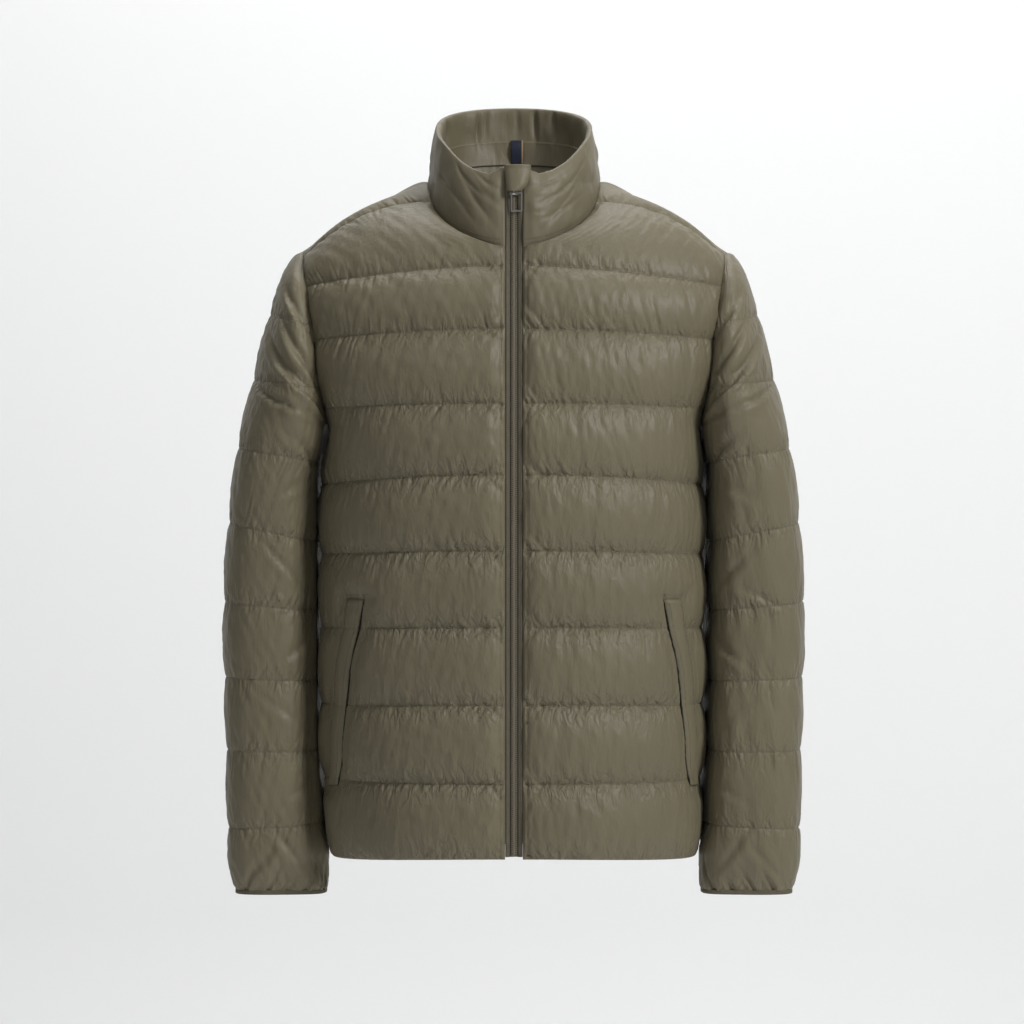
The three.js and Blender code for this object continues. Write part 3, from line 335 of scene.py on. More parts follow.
olive = nylon("olive nylon", (0.159, 0.138, 0.087))
side_seam, armhole_front = curve(SIDE_SEAM), curve(ARMHOLE_FRONT)
corner = neckline(CORNER_DEG)
front_edge = curve([*FRONT_ROWS[:9, :3].tolist(), [CORNER_T, corner[1], corner[2]]])


def front_middle(t):
    """Edge at the zip: the front edge 9 mm from the middle, and the neck seam above its corner."""
    straight = np.concatenate([np.full((len(t), 1), 9.0), front_edge(t)], -1)
    return np.where((t < CORNER_T)[:, None], straight, neckline(neck_angle(t)))


def edge_to(armhole):
    """A panel's outer edge: the side seam up to the armpit and the armhole above it."""
    return lambda t: np.where((t <= ARMPIT_T)[:, None], side_seam(t), armhole(t))


def body_t():
    """Rows of the body panels, with rows at the armpit and at the neckline's corner."""
    return chamber_rows(np.arange(11.0), BODY_ROWS_A_CHAMBER, (ARMPIT_T, CORNER_T))


WELT_ROWS = [[0.9, 183], [1.2, 177.5], [1.6, 175.5], [2.1, 171.5], [2.5, 167.5], [3, 159], [3.38, 153]]
WELT_WIDTH = 27.0
TOPSTITCH = 4.5


def welt_place(t, u, base):
    """Shares of the row at the welt's two edges for each t, from the row's own points."""
    x = curve(WELT_ROWS)(np.clip(t, 0.9, 3.38))[:, 0]
    first = np.array([np.interp(v, row[:, 0], u) for v, row in zip(x, base)])
    run = np.linalg.norm(np.diff(base, axis=1), axis=-1).cumsum(axis=1)
    run = np.concatenate([np.zeros((len(t), 1)), run], axis=1)
    start = np.array([np.interp(f, u, row) for f, row in zip(first, run)])
    last = np.array([np.interp(s + WELT_WIDTH, row, u) for s, row in zip(start, run)])
    return first, np.minimum(0.985, last)


FULLER = {"left": 2.5, "right": 7.0}
BODY_GROWTH, BODY_PRESSURE = 0.02, 6.0
FREE, DEEPEST = 30.0, 1.6  # mm: a cap that the cloth never reaches, and its furthest way in


def fuller_side(p, t, u, most):
    """Moves the body's side out by up to most mm between hem and armpit, where the chambers push it."""
    more = most * ease((u - 0.7) / 0.3)[None] * (ease(t / 1.3) * ease((5.65 - t) / 0.5))[:, None]
    return p + more[..., None] * np.array([1, 0, 0])


def body_puff(t, u, from_middle, rng):
    """How far the filled cloth stands out: high in the middle of a chamber, nothing on the stitching."""
    k = np.minimum(9, np.floor(t).astype(int))
    vary = rng.uniform(0.92, 1.08, 10)[k][:, None]
    t, u = t[:, None], u[None, :]
    high = np.where(t > 9, 3.0, 12 - 4 * u * u) * vary
    edge = np.clip((1 - u) * 280 / 20, 0, 1)
    if from_middle:
        edge = np.minimum(edge, np.clip(u * 280 / 16, 0, 1))
    armpit = np.exp(-((u - 1) / 0.2)**2 - ((t - ARMPIT_T) / 0.6)**2)
    return high * swell(t - np.floor(t), 0.72) * np.sqrt(edge) * (1 - armpit)


def front(side, seed):
    """One front in +X form: its surface, the cloth over it and the seam lines, as grids."""
    rng = np.random.default_rng(seed)
    t = body_t()
    u = np.linspace(0, 1, FRONT_COLUMNS)
    u = u - 0.04 * np.sin(2 * np.pi * u)
    ends = edge_to(armhole_front)
    middle, far = front_middle(np.arange(10.0)), ends(np.arange(10.0))
    rows = [quilt_row(middle[k], far[k], FRONT_ROWS[k, 3], FRONT_ROWS[k, 4], u) for k in range(10)]
    base = fuller_side(panel_surface([*rows, shoulder(u)], front_middle, ends, t, u), t, u, FULLER[side])
    n = normals(base)
    first, last = welt_place(t, u, base)
    pocket = (ease((t - 0.65) / 0.25) * ease((3.63 - t) / 0.25))[:, None]
    pocket = pocket * ease((u[None] - first[:, None] + 0.1) / 0.08)
    pocket = pocket * ease((last[:, None] + 0.1 - u[None]) / 0.08)
    puff = body_puff(t, u, True, rng) * (1 - 0.7 * pocket)
    seamed = (np.abs(t - np.round(t)) < 1e-6)[:, None] | (u < 1e-6)[None] | (u > 1 - 1e-6)[None]
    under = (t > 0.9)[:, None] & (t < 3.38)[:, None] & (u[None] > first[:, None]) & (u[None] < last[:, None])
    sewn = seamed | under
    start = base + n * (puff * 0.75 + ~sewn * (0.5 * waves(base, rng, 13, 10, (1, 1, 0.35))))[..., None]
    growth = fullness(base, rng, BODY_GROWTH) * np.interp(t, (6, 9), (1, 0.5))[:, None]
    cloth = inflated(start, sewn, growth, BODY_PRESSURE)
    cloth = yoke(cloth, base, n, t)
    cloth = finer(kept_near(cloth, base, n, np.where(t > 9, 4, 14.5)[:, None] - 4 * u * u))
    base, n = finer(base), unit(finer(n))
    u = finer(u[None])[0]
    above, below = ((3.8, 0.55), (2.0, 0.3)) if side == "left" else ((2.4, -0.4), (3.7, -0.6))
    cloth = puckered(cloth, n, t, np.arange(11.0), rng, above, below)
    up, across = run_along(base, 0), run_along(base, 1)
    lines_at = up[[int(np.argmin(abs(t - k))) for k in range(1, 9)], 0]
    by_zip = tucks(up, across, lines_at, rng, 1.2)
    by_zip = by_zip + creases(up, across, rng, 3.2, 0.35, (4, 9), (6, 18), (1.1, 1.8))
    by_zip = by_zip + 0.9 * np.exp(-((across - TOPSTITCH) / 1.3)**2)
    cloth = cloth - n * (by_zip * ease((8.3 - t) / 0.3)[:, None])[..., None]
    from_hole = across[:, -1:] - across
    by_hole = creases(up, from_hole, rng, 1.3, 0.2, (6, 12), (10, 30), (1.6, 2.6))
    cloth = cloth - n * (by_hole * ease((t - 5.8) / 0.4)[:, None])[..., None]
    first, last = welt_place(t, u, base)
    along_welt = ease((t - 0.8) / 0.1) * ease((3.5 - t) / 0.1)
    for share, deep in ((first, 4.4), (last, 2.6)):
        off = across - np.array([np.interp(v, u, row) for v, row in zip(share, across)])[:, None]
        cloth = cloth - n * (deep * along_welt[:, None] * np.exp(-(off / 1.5)**2))[..., None]
    cloth = kept_near(cloth, base, n, FREE)
    return {"t": t, "u": u, "base": base, "n": n, "cloth": cloth, "welt": (first, last)}


def yoke(cloth, base, n, t):
    """Smooths the top chamber, which lies flat over the shoulder and runs on across its seam."""
    high = 3 * np.sqrt(np.clip(t - 9, 0, 1)) * ease((10 - t) / 0.7) + 0.7 * (t > 9.02)
    smooth = base + n * high[:, None, None]
    return cloth + (smooth - cloth) * ease((t - 9) / 0.35)[:, None, None]


def fullness(p, rng, share):
    """How much longer the cloth is than its seam surface: patchy, as filling and sewing are never even."""
    return share * np.clip(1 + 0.35 * waves(p, rng, 120, 12), 0.3, 1.7)


def kept_near(cloth, base, n, cap):
    """Caps how far the cloth stands out from the seam surface, and stops it coming through the wall."""
    out = ((cloth - base) * n).sum(-1)
    return cloth + n * (np.clip(out, -DEEPEST, cap) - out)[..., None]


def finer(p):
    """The same grid with a point between each two along its rows, on the cubic through four neighbours."""
    q = np.concatenate([2 * p[:, :1] - p[:, 1:2], p, 2 * p[:, -1:] - p[:, -2:-1]], axis=1)
    out = np.empty((p.shape[0], 2 * p.shape[1] - 1, *p.shape[2:]))
    out[:, ::2] = p
    out[:, 1::2] = (9 * (q[:, 1:-2] + q[:, 2:-1]) - q[:, :-3] - q[:, 3:]) / 16
    return out


def creases(along, away, rng, deep, lean, spacing=(5, 13), reach=(6, 34), width=(1.2, 2.1)):
    """Depth of the short creases that run out of a seam. Their places along it are random; each is a narrow
    trough with a soft ridge on both sides, slanted by lean, and fades out with the distance from the seam."""
    start, end = along.min() - 60, along.max() + 60
    place = start + rng.uniform(*spacing, int((end - start) / np.mean(spacing))).cumsum()
    count = len(place)
    size = deep * rng.uniform(0.3, 1, count)**1.4
    wide, far = rng.uniform(*width, count), reach[0] + (reach[1] - reach[0]) * rng.uniform(0, 1, count)**1.6
    q = np.arange(start, end, 0.5)
    off = (q[:, None] - place) / wide
    depth = ((np.exp(-off**2) - 0.45 * np.exp(-(off / 2.2)**2)) * size).sum(1)
    near = np.exp(-(off / 1.6)**2) + 1e-6
    length = (near * far).sum(1) / near.sum(1)
    x = along + lean * away * (1 + 0.5 * np.sin(along / 31))
    fade = np.exp(-(away / np.interp(x, q, length))**1.6) * (1 - np.exp(-away / 1.1))
    return np.interp(x, q, depth) * fade


def run_along(p, axis):
    """Distance walked from the first point along one direction of a grid."""
    step = np.linalg.norm(np.diff(p, axis=axis), axis=-1).cumsum(axis=axis)
    first = step[:1] if axis == 0 else step[:, :1]
    return np.concatenate([0 * first, step], axis=axis)


def puckered(p, n, row, lines, rng, above, below, fade_rows=(6, 8, 9, 9.6), fade_by=(1, 0.75, 0.5, 0)):
    """The cloth with creases out of both sides of every quilt line; above and below are (depth, lean)."""
    along = run_along(p, 1)
    drop = np.zeros(p.shape[:2])
    for low, high in zip(lines[:-1], lines[1:]):
        i = np.flatnonzero((row >= low - 1e-9) & (row <= high + 1e-9))
        up = run_along(p[i], 0)
        down = up[-1:] - up
        vary = rng.uniform(0.7, 1.2, 2)
        drop[i] += creases(along[i], up, rng, above[0] * vary[0], above[1] * rng.uniform(0.6, 1.4))
        drop[i] += creases(along[i], down, rng, below[0] * vary[1], below[1] * rng.uniform(0.6, 1.4))
        drop[i] += creases(along[i], up, rng, 0.35, 0.0, (2.2, 4.5), (2, 5), (0.7, 1.0))
        drop[i] += creases(along[i], down, rng, 0.35, 0.0, (2.2, 4.5), (2, 5), (0.7, 1.0))
    return p - n * (drop * np.interp(row, fade_rows, fade_by)[:, None])[..., None]


def tucks(along, away, lines_at, rng, deep, width=2.2):
    """Depth of the V-shaped drags at an edge, whose points lie on the quilt lines a little way in."""
    drop = 0 * away
    for line in lines_at:
        for way in (-1, 1):
            tip, foot = rng.uniform(15, 26), rng.uniform(12, 26)
            x, y = away / tip, (along - line) * way / foot
            across = (x + y - 1) / np.hypot(1 / tip, 1 / foot)
            mask = ease((y + 0.12) / 0.15) * ease((1.15 - y) / 0.2) * ease((1.2 - x) / 0.2)
            drop = drop + deep * rng.uniform(0.6, 1.2) * mask * (
                np.exp(-(across / width)**2) - 0.55 * np.exp(-((across + 4.5) / 3)**2))
    return drop


def mirror(p):
    """The same grid on the other side, its columns reversed so that it still faces out."""
    return (p * [-1, 1, 1])[:, ::-1]


def finished(obj, material, *nodes):
    """Gives a padded piece its cloth, hangs it on the garment and hides the parts that it takes the place of.
    """
    obj.data.materials.append(material)
    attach(obj, "garment")
    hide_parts(*nodes)


left, right = front("left", 11), front("right", 12)
body_bunch = bunched(left["t"], range(10)) * np.interp(left["t"], (4, 7, 9.2), (1, 0.65, 0.15))
finished(shell("front_left_cloth", left["cloth"], left["base"] - left["n"] * WALL, gather=body_bunch), olive,
         "front_left")
finished(shell("front_right_cloth", mirror(right["cloth"]), mirror(right["base"] - right["n"] * WALL),
               gather=body_bunch), olive, "front_right")

# Back
# One quilted panel from side seam to side seam, with the fronts' quilt lines, sewn to the fronts at the sides
# and shoulders and to the collar at the neck.
BACK_ROWS = np.array([
    [0, 122, -702, 90, 2], [1, 118, -620, 90, 2], [2, 113, -543, 90, 2], [3, 109, -463, 90, 2],
    [4, 110, -387, 90, 2], [5, 118, -314, 90, 2], [6, 126, -236, 78, 2], [7, 128, -160, 68, 2],
    [8, 118, -90, 64, 2.2]])
ARMHOLE_BACK = [[5.75, 194, 4, -255], [5.875, 195.5, 28, -249], [6, 198, 46, -236], [6.5, 203, 66, -199],
                [7, 206, 73, -165], [8, 216, 60, -109], [9, 221, 28, -78], [10, *SHOULDER_POINT]]
NECK_SHARE = 4 / 14
BACK_HALF_COLUMNS = 90
armhole_back = curve(ARMHOLE_BACK)
nape = neckline(180)
back_edge = curve([*BACK_ROWS[:, :3].tolist(), [9, 99, -30], [10, nape[1], nape[2]]])


def back_middle(t):
    """Middle of the back at each t."""
    return np.concatenate([np.zeros((len(t), 1)), back_edge(t)], -1)


def back_top(u):
    """Top edge of the back: the neck seam from the nape out, and then the shoulder seam."""
    seam = shoulder(np.maximum(0, (u - NECK_SHARE) / (1 - NECK_SHARE)))
    return np.where((u <= NECK_SHARE)[:, None], neckline(180 - 90 * np.minimum(1, u / NECK_SHARE)), seam)


def back(seed):
    """The back's surface, the cloth over it and the seam lines: both halves in one grid from +X to -X."""
    rng = np.random.default_rng(seed)
    t = body_t()
    u = np.linspace(0, 1, BACK_HALF_COLUMNS)
    u[np.argmin(abs(u - NECK_SHARE))] = NECK_SHARE
    ends = edge_to(armhole_back)
    middle, far = back_middle(np.arange(9.0)), ends(np.arange(9.0))
    rows = [quilt_row(middle[k], far[k], BACK_ROWS[k, 3], BACK_ROWS[k, 4], u) for k in range(9)]
    top = back_top(u)
    run = np.array([0, -20, 100]) + np.array([0, -100, -84]) * ease(u / NECK_SHARE)[:, None]
    blades = (rows[8] + top) / 2 + np.array([0, -20, 130]) / 8 - run / 8
    half = panel_surface([*rows, blades, top], back_middle, ends, t, u)
    left_half, right_half = (fuller_side(half, t, u, FULLER[side]) for side in ("left", "right"))
    base = np.concatenate([left_half[:, :0:-1], right_half * [-1, 1, 1]], axis=1)
    whole_u = np.concatenate([u[:0:-1], u])
    n = normals(base)
    puff = body_puff(t, whole_u, False, rng)
    sewn = (np.abs(t - np.round(t)) < 1e-6)[:, None] | (whole_u > 1 - 1e-6)[None]
    start = base + n * (puff * 0.75 + ~sewn * (0.5 * waves(base, rng, 13, 10, (1, 1, 0.35))))[..., None]
    growth = fullness(base, rng, BODY_GROWTH) * np.interp(t, (6, 9), (1, 0.5))[:, None]
    cloth = inflated(start, sewn, growth, BODY_PRESSURE)
    cloth = yoke(cloth, base, n, t)
    cloth = finer(kept_near(cloth, base, n, np.where(t > 9, 4, 14.5)[:, None] - 4 * whole_u**2))
    base, n = finer(base), unit(finer(n))
    cloth = puckered(cloth, n, t, np.arange(11.0), rng, (2.8, 0.4), (2.4, -0.4))
    cloth = kept_near(cloth, base, n, FREE)
    return {"t": t, "base": base, "n": n, "cloth": cloth}


rear = back(21)
finished(shell("back_cloth", rear["cloth"], rear["base"] - rear["n"] * WALL, gather=body_bunch), olive,
         "back")

# Sleeves
# Two quilted one-seam sleeves set into the armholes. They hang beside the body, a little bent at the elbow,
# and their chambers are tighter than the body's.
SLEEVE_ROWS = [
    # r, inner x and z, outermost x, y and z, reach in x and y at the armhole, reach at the outermost point
    [0, 223, -70, 223, 4, -70, 0, 0, 0], [1, 222, -78, 231, 6, -76.5, 5, 3, 12],
    [2, 215, -109, 243.5, 6, -105, 17, 14, 36], [2.75, 208, -150, 253.5, 6, -137, 22, 34, 50],
    [3.75, 201, -219, 270.5, 6, -205, 14, 72, 78], [4.25, 194, -255, 279, 6, -241, 0, 106, 106],
    [4.75, 203, -292, 286, 8, -276, 0, 111, 111], [5.75, 205, -374, 296, 12, -353, 0, 103, 103],
    [6.75, 205, -446, 301, 14, -436, 0, 96, 96], [7.75, 205, -519, 300, 11, -515, 0, 87, 87],
    [8.75, 204, -592, 298, 5, -591, 0, 77, 77], [9.75, 201, -668, 296, -2, -673, 0, 63, 63],
    [10.75, 196, -735, 291, -10, -736, 0, 42, 42]]
SLEEVE_LINES = np.array([0.04, 2.75, 3.75, 4.75, 5.75, 6.75, 7.75, 8.75, 9.75, 10.75])
ARMPIT_R = 10 - ARMPIT_T
SLEEVE_COLUMNS = 132
HEM_Z, ARMPIT_Z = -702, -255
side_height = curve([[z, t] for t, _, _, z in SIDE_SEAM])


def body_side(y, z):
    """How far the body reaches to the side at a point's y and height: a squared ellipse whose ends are the
    side seam and the middle of the front or back."""
    t = side_height(np.clip(z, HEM_Z, ARMPIT_Z))[..., 0]
    seam = side_seam(t)
    middle = np.where(y < seam[..., 1], front_edge(np.minimum(t, 8))[..., 0], back_edge(t)[..., 0])
    forward = np.clip((y - seam[..., 1]) / (middle - seam[..., 1]), 0, 1)
    return seam[..., 0] * (1 - forward**SQUARENESS) ** (1 / SQUARENESS)


def kept_clear(p, fuller, extra=0.0):
    """Keeps the sleeve's inner side just clear of the body's chambers, from the armpit down."""
    below = ease((-p[..., 2] - 238) / 26)
    fuller = fuller * ease(side_height(np.clip(p[..., 2], HEM_Z, ARMPIT_Z))[..., 0] / 1.3)
    past_hem = 60 * ease((-p[..., 2] - 690) / 30)
    limit = body_side(p[..., 1], p[..., 2]) + (5.5 + fuller) * below + extra - past_hem
    out = p.copy()
    out[..., 0] = np.where(below > 0, np.maximum(p[..., 0], limit), p[..., 0])
    return out


def sleeve_surface(r, v):
    """Seam surface of the sleeve: for each r a Bezier curve from the armhole or inner line (v 0) to the
    outermost line (v 1), and on from there round the back (v 2). Below the armpit its front is flatter and
    turns sharply in towards the body, by a power of its forward reach."""
    xi, zi, xo, yo, zo, reach_x, reach_y, reach_o = curve(SLEEVE_ROWS)(r).T[:, :, None]
    w = np.where(v > 1, 2 - v, v)[None, :, None]
    back_half = (v > 1)[None, :, None]
    way = np.where(back_half, 1, -1)
    on = np.minimum(r, ARMPIT_R)
    hole = np.where(back_half, armhole_back(10 - on)[:, None], armhole_front(10 - on)[:, None])
    y_in = 4 + (yo - 4) * np.clip((r - ARMPIT_R) / 2, 0, 1)[:, None]
    inner = np.concatenate([xi, y_in, zi], -1)[:, None]
    start = np.where((r <= ARMPIT_R)[:, None, None], hole, inner)
    end = np.concatenate([xo, yo, zo], -1)[:, None]
    lift = (end[..., 2:] - start[..., 2:]) / 4
    rx, ry, ro = reach_x[:, None], reach_y[:, None], reach_o[:, None]
    zero = 0 * start[..., :1]
    a = start + np.concatenate([zero + rx, zero + way * ry, lift], -1)
    b = end + np.concatenate([zero, zero + way * ro, -lift], -1)
    q = 1 - w
    p = q**3 * start + 3 * q * q * w * a + 3 * q * w * w * b + w**3 * end
    chord = (start * q + end * w)[..., 1]
    forward = chord - p[..., 1]
    most = np.maximum(forward.max(axis=1, keepdims=True), 1)
    squarer = most * (1 - (1 - np.clip(forward / most, 0, 1))**2.1)
    share = (~back_half * (1 - 0.6 * w))[..., 0] * ease((r - 4.3) / 0.6)[:, None]
    p[..., 1] = chord - forward * (1 - share) - squarer * share
    return p


FOLD_DEPTH = 1.35
SLEEVE_FOLDS = [
    # row, place round (0 inner front, 1 outermost, 2 inner back), slant, length, width, depth as a
    # multiple of FOLD_DEPTH
    (3.9, 0.2, 1.1, 38, 4.5, 4.4), (3.3, 0.22, 1.2, 34, 4.2, 3.8), (3.5, 0.42, 0.9, 40, 5, 3.4),
    (2.6, 0.2, 1.2, 30, 4, 3), (4.0, 0.5, 0.45, 36, 4.5, 3.2), (4.6, 0.25, 0.5, 26, 3.5, 2.4),
    (5.2, 0.35, -0.6, 24, 3, 1.6), (6.2, 0.3, 0.7, 28, 3.5, 2.2), (6.6, 0.5, -0.5, 22, 3, 1.5),
    (7.3, 0.22, -0.7, 24, 3.5, 2.0), (8.2, 0.35, 0.6, 26, 3, 1.6),
    (9.3, 0.3, -0.5, 20, 3, 1.6), (10.1, 0.35, 0.9, 26, 3.5, 2.2), (10.3, 0.62, -0.9, 24, 3.2, 1.9),
    (5.9, 1.5, 0.5, 28, 3.5, 1.8), (7.1, 1.7, -0.6, 26, 3.5, 1.8), (9.0, 1.45, 0.5, 26, 3.5, 1.6),
    (10.2, 1.5, -0.8, 26, 3.5, 1.9)]


SLEEVE_GROWTH, SLEEVE_PRESSURE = 0.015, 3.5
INTO_BINDING = 1.5  # mm of the sleeve's end that lie inside the folded binding


def smoothed(p, r, v):
    """Carries the sleeve evenly past the armpit: away from its seam, a cubic between the rows at 3.7 and
    4.9 takes the place of the rows between."""
    i, j = np.argmin(abs(r - 4.9)), np.argmin(abs(r - 3.7))
    span = r[j] - r[i]
    s = ((r[i:j + 1] - r[i]) / span)[:, None, None]
    first = (p[i] - p[i - 1]) / (r[i] - r[i - 1]) * span
    last = (p[j + 1] - p[j]) / (r[j + 1] - r[j]) * span
    even = ((2 * s**3 - 3 * s**2 + 1) * p[i] + (s**3 - 2 * s**2 + s) * first
            + (3 * s**2 - 2 * s**3) * p[j] + (s**3 - s**2) * last)
    w = ease(np.minimum(v, 2 - v) / 0.35)[None, :, None]
    out = p.copy()
    out[i:j + 1] = p[i:j + 1] * (1 - w) + even * w
    return out


def sleeve(side, seed, away):
    """One sleeve in +X form, from the cuff (first row) up to the shoulder point. Its inner front edge stands
    away from the body by the last number, in mm."""
    rng = np.random.default_rng(seed)
    r = chamber_rows(SLEEVE_LINES, 26, (ARMPIT_R,))[::-1]
    v = np.linspace(0, 2, SLEEVE_COLUMNS + 1)
    base = smoothed(sleeve_surface(r, v), r, v)
    n = normals(base)
    edge_v = np.minimum(v, 2 - v)
    above_cuff = ease((10.75 - r) / 0.5)[:, None]
    out = 1.8 * ease(edge_v / 0.35)[None] * ease(r / 2)[:, None] * above_cuff
    wrap = 16 * ease((r - 4.25) / 0.35) - 11 * ease((r - 9.5) / 0.5)
    inwards = np.exp(-((v - 1.81) / 0.1)**2)[None] * wrap[:, None]
    inwards = inwards - away * (ease(v / 0.1) * ease((0.6 - v) / 0.4))[None] * ease((r - 4.4) / 0.8)[:, None]
    base = base + n * out[..., None] - np.array([1, 0, 0]) * (inwards * above_cuff)[..., None]
    n = normals(base)
    seam = n[:, 0] + n[:, -1]
    low = r > ARMPIT_R - 1e-6
    n[low, 0] = n[low, -1] = unit(seam)[low]
    k = np.clip(np.searchsorted(SLEEVE_LINES, r, side="right") - 1, 0, 8)
    s = (r - SLEEVE_LINES[k]) / (SLEEVE_LINES[k + 1] - SLEEVE_LINES[k])
    s = np.where(k == 0, s**1.8, s)
    edge = np.where(low[:, None], 1, np.clip(np.minimum(v, 2 - v)[None] * 6, 0, 1))
    high = 4.2 * rng.uniform(0.9, 1.1, 9)[k] * np.choose((k == 0) + 2 * (k == 8), (1, 0.55, 1.25))
    puff = (high * swell(s, 0.6))[:, None] * np.sqrt(edge)
    on_line = np.min(abs(r[:, None] - SLEEVE_LINES[None]), axis=1) < 1e-6
    sewn = on_line[:, None] | (v[None] < 1e-6) | (v[None] > 2 - 1e-6)
    start = base + n * (puff * 0.7 + ~sewn * (0.5 * waves(base, rng, 13, 10, (1, 1, 0.35))))[..., None]
    cloth = inflated(start, sewn, fullness(base, rng, SLEEVE_GROWTH), SLEEVE_PRESSURE)
    cloth = finer(kept_near(cloth, base, n, 6.0))
    base, n = finer(base), unit(finer(n))
    cloth = puckered(cloth, n, -r, -SLEEVE_LINES[::-1], rng, (2.0, 0.3), (1.8, -0.3), (-3, -2), (1, 0.7))
    around, up = run_along(base, 1), run_along(base, 0)
    fold = np.zeros(around.shape)
    for row, place, slant, length, width, deep in SLEEVE_FOLDS:
        i = int(np.argmin(abs(r - row)))
        x = around - np.interp(place, v, around[i, ::2])
        y = up - up[i]
        along = (x * np.cos(slant) + y * np.sin(slant)) / length
        across = (-x * np.sin(slant) + y * np.cos(slant)) / width
        trough = np.exp(-across**2) - 0.5 * np.exp(-((across + 2) / 1.5)**2)
        fold += FOLD_DEPTH * deep * np.exp(-along**2) * trough
    gathers = creases(around, up + 2, rng, 5.5, 0.4, (11, 26), (16, 38), (2, 3.2))
    fold += gathers * ease((r - 9.75) / 0.5)[:, None]
    cloth = cloth - n * fold[..., None]
    by_hole = creases(up, around, rng, 1.4, 0.2, (6, 12), (10, 32), (1.6, 2.6))
    by_hole = by_hole + creases(up, around[:, -1:] - around, rng, 1.4, 0.2, (6, 12), (10, 32), (1.6, 2.6))
    cloth = kept_near(cloth - n * (by_hole * ease((4.6 - r) / 0.5)[:, None])[..., None], base, n, FREE)
    cloth = kept_clear(cloth, FULLER[side])
    inside = kept_clear(base - n * WALL, FULLER[side], WALL)
    for p in (cloth, inside):
        p[low, -1] = p[low, 0]
        p[0, :, 2] = base[0, :, 2] - INTO_BINDING
    return {"r": r, "n": n, "cloth": cloth, "inside": inside}


left_sleeve, right_sleeve = sleeve("left", 31, 4), sleeve("right", 32, 11)
bunch = 0.75 * bunched(left_sleeve["r"], SLEEVE_LINES)
finished(shell("sleeve_left_cloth", left_sleeve["cloth"], left_sleeve["inside"], gather=bunch), olive,
         "sleeve_left")
finished(shell("sleeve_right_cloth", mirror(right_sleeve["cloth"]), mirror(right_sleeve["inside"]),
               gather=bunch), olive, "sleeve_right")

# Cuff bindings
# A narrow elastic binding folded over each sleeve end, darker than the cloth and a little tighter, sewn
# through all layers.
BINDING = {"height": 5.0, "wall": 3.0, "proud": 0.6, "gap": 0.4}


def ribbed(name, colour, pitch):
    """Knitted elastic: fine upright ribs and a soft matt tone."""
    material = bpy.data.materials.new(name)
    material.use_nodes = True
    add_nodes(material, [
        ("place", "ShaderNodeTexCoord", {}, {}),
        ("ribs", "ShaderNodeTexVoronoi", {}, {"Vector": ("place", "Object"), "Scale": 1.0 / pitch}),
        ("tone", "ShaderNodeTexNoise", {}, {"Vector": ("place", "Object"), "Scale": 90.0, "Detail": 3.0}),
        ("bump", "ShaderNodeBump", {}, {"Height": ("ribs", "Distance"), "Strength": 0.6, "Distance": 0.0004}),
        ("colour", "ShaderNodeMix", {"data_type": "RGBA"}, {"Factor": ("tone", "Fac")}),
    ])
    tree = material.node_tree
    tree.nodes["colour"].inputs[6].default_value = tuple(v * 0.75 for v in colour) + (1,)
    tree.nodes["colour"].inputs[7].default_value = tuple(v * 1.2 for v in colour) + (1,)
    shader = tree.nodes["Principled BSDF"]
    tree.links.new(tree.nodes["colour"].outputs[2], shader.inputs["Base Color"])
    tree.links.new(tree.nodes["bump"].outputs["Normal"], shader.inputs["Normal"])
    shader.inputs["Roughness"].default_value = 0.85
    return material


def ring_mesh(name, profile):
    """A closed band: the profile (rows x points round, the last row followed by the first) as one mesh."""
    n, m = profile.shape[:2]
    i = np.arange(n * m).reshape(n, m)
    up, on = np.roll(i, -1, axis=0), np.roll(i, -1, axis=1)
    quads = np.stack([i, on, np.roll(up, -1, axis=1), up], -1).reshape(-1, 4)
    mesh = bpy.data.meshes.new(name)
    mesh.from_pydata((profile.reshape(-1, 3) * MM).tolist(), [], quads.tolist())
    mesh.shade_smooth()
    obj = bpy.data.objects.new(name, mesh)
    bpy.context.scene.collection.objects.link(obj)
    return obj


def cuff_binding():
    """The binding's section (a flat rounded loop) carried round the sleeve end."""
    v = np.linspace(0, 2, 121)[:-1]
    base = sleeve_surface(np.array([10.75 - 0.02, 10.75]), v)[1]
    along = np.roll(base, -1, axis=0) - np.roll(base, 1, axis=0)
    out = unit(np.stack([along[:, 1], -along[:, 0], 0 * along[:, 0]], -1))
    out *= np.sign((out * (base - base.mean(axis=0))).sum(-1, keepdims=True))
    a = np.linspace(0, 2 * np.pi, 21)[:-1]
    middle = (BINDING["proud"] - BINDING["wall"]) / 2
    half = (BINDING["proud"] + BINDING["wall"]) / 2
    across = middle + half * np.sign(np.cos(a)) * abs(np.cos(a))**0.5
    down = -BINDING["gap"] - BINDING["height"] / 2 * (1 - np.sign(np.sin(a)) * abs(np.sin(a))**0.5)
    ripple = 0.12 * np.sin(2 * np.pi * np.arange(120) / 4)[None, :, None]
    return (base[None] + out[None] * (across[:, None, None] + ripple * (across > 0)[:, None, None])
            + np.array([0, 0, 1]) * down[:, None, None])


elastic = ribbed("elastic binding", (0.112, 0.097, 0.064), 0.0011)
loop = cuff_binding()
for side, p in (("left", loop[::-1]), ("right", loop * [-1, 1, 1])):
    obj = ring_mesh("cuff_binding_" + side + "_cloth", p)
    obj.data.materials.append(elastic)
    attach(obj, "garment")
    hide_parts("cuff_binding_" + side)

# Collar
# A padded stand collar, cut in one piece with its ends at the zip, sewn to the neck seam. Its inner side is
# shell nylon too, with a plain facing below a seam. It is squashed into slanting folds near the zip.
COLLAR_TOP = {"half": 82.0, "y": -5.0, "depth": 83.0, "z": 50.5, "slope": 38.5, "rise": 9.0}
COLLAR_ROWS, COLLAR_HALF_COLUMNS = 46, 120
COLLAR_ROUND, COLLAR_HIGH = 88, 95


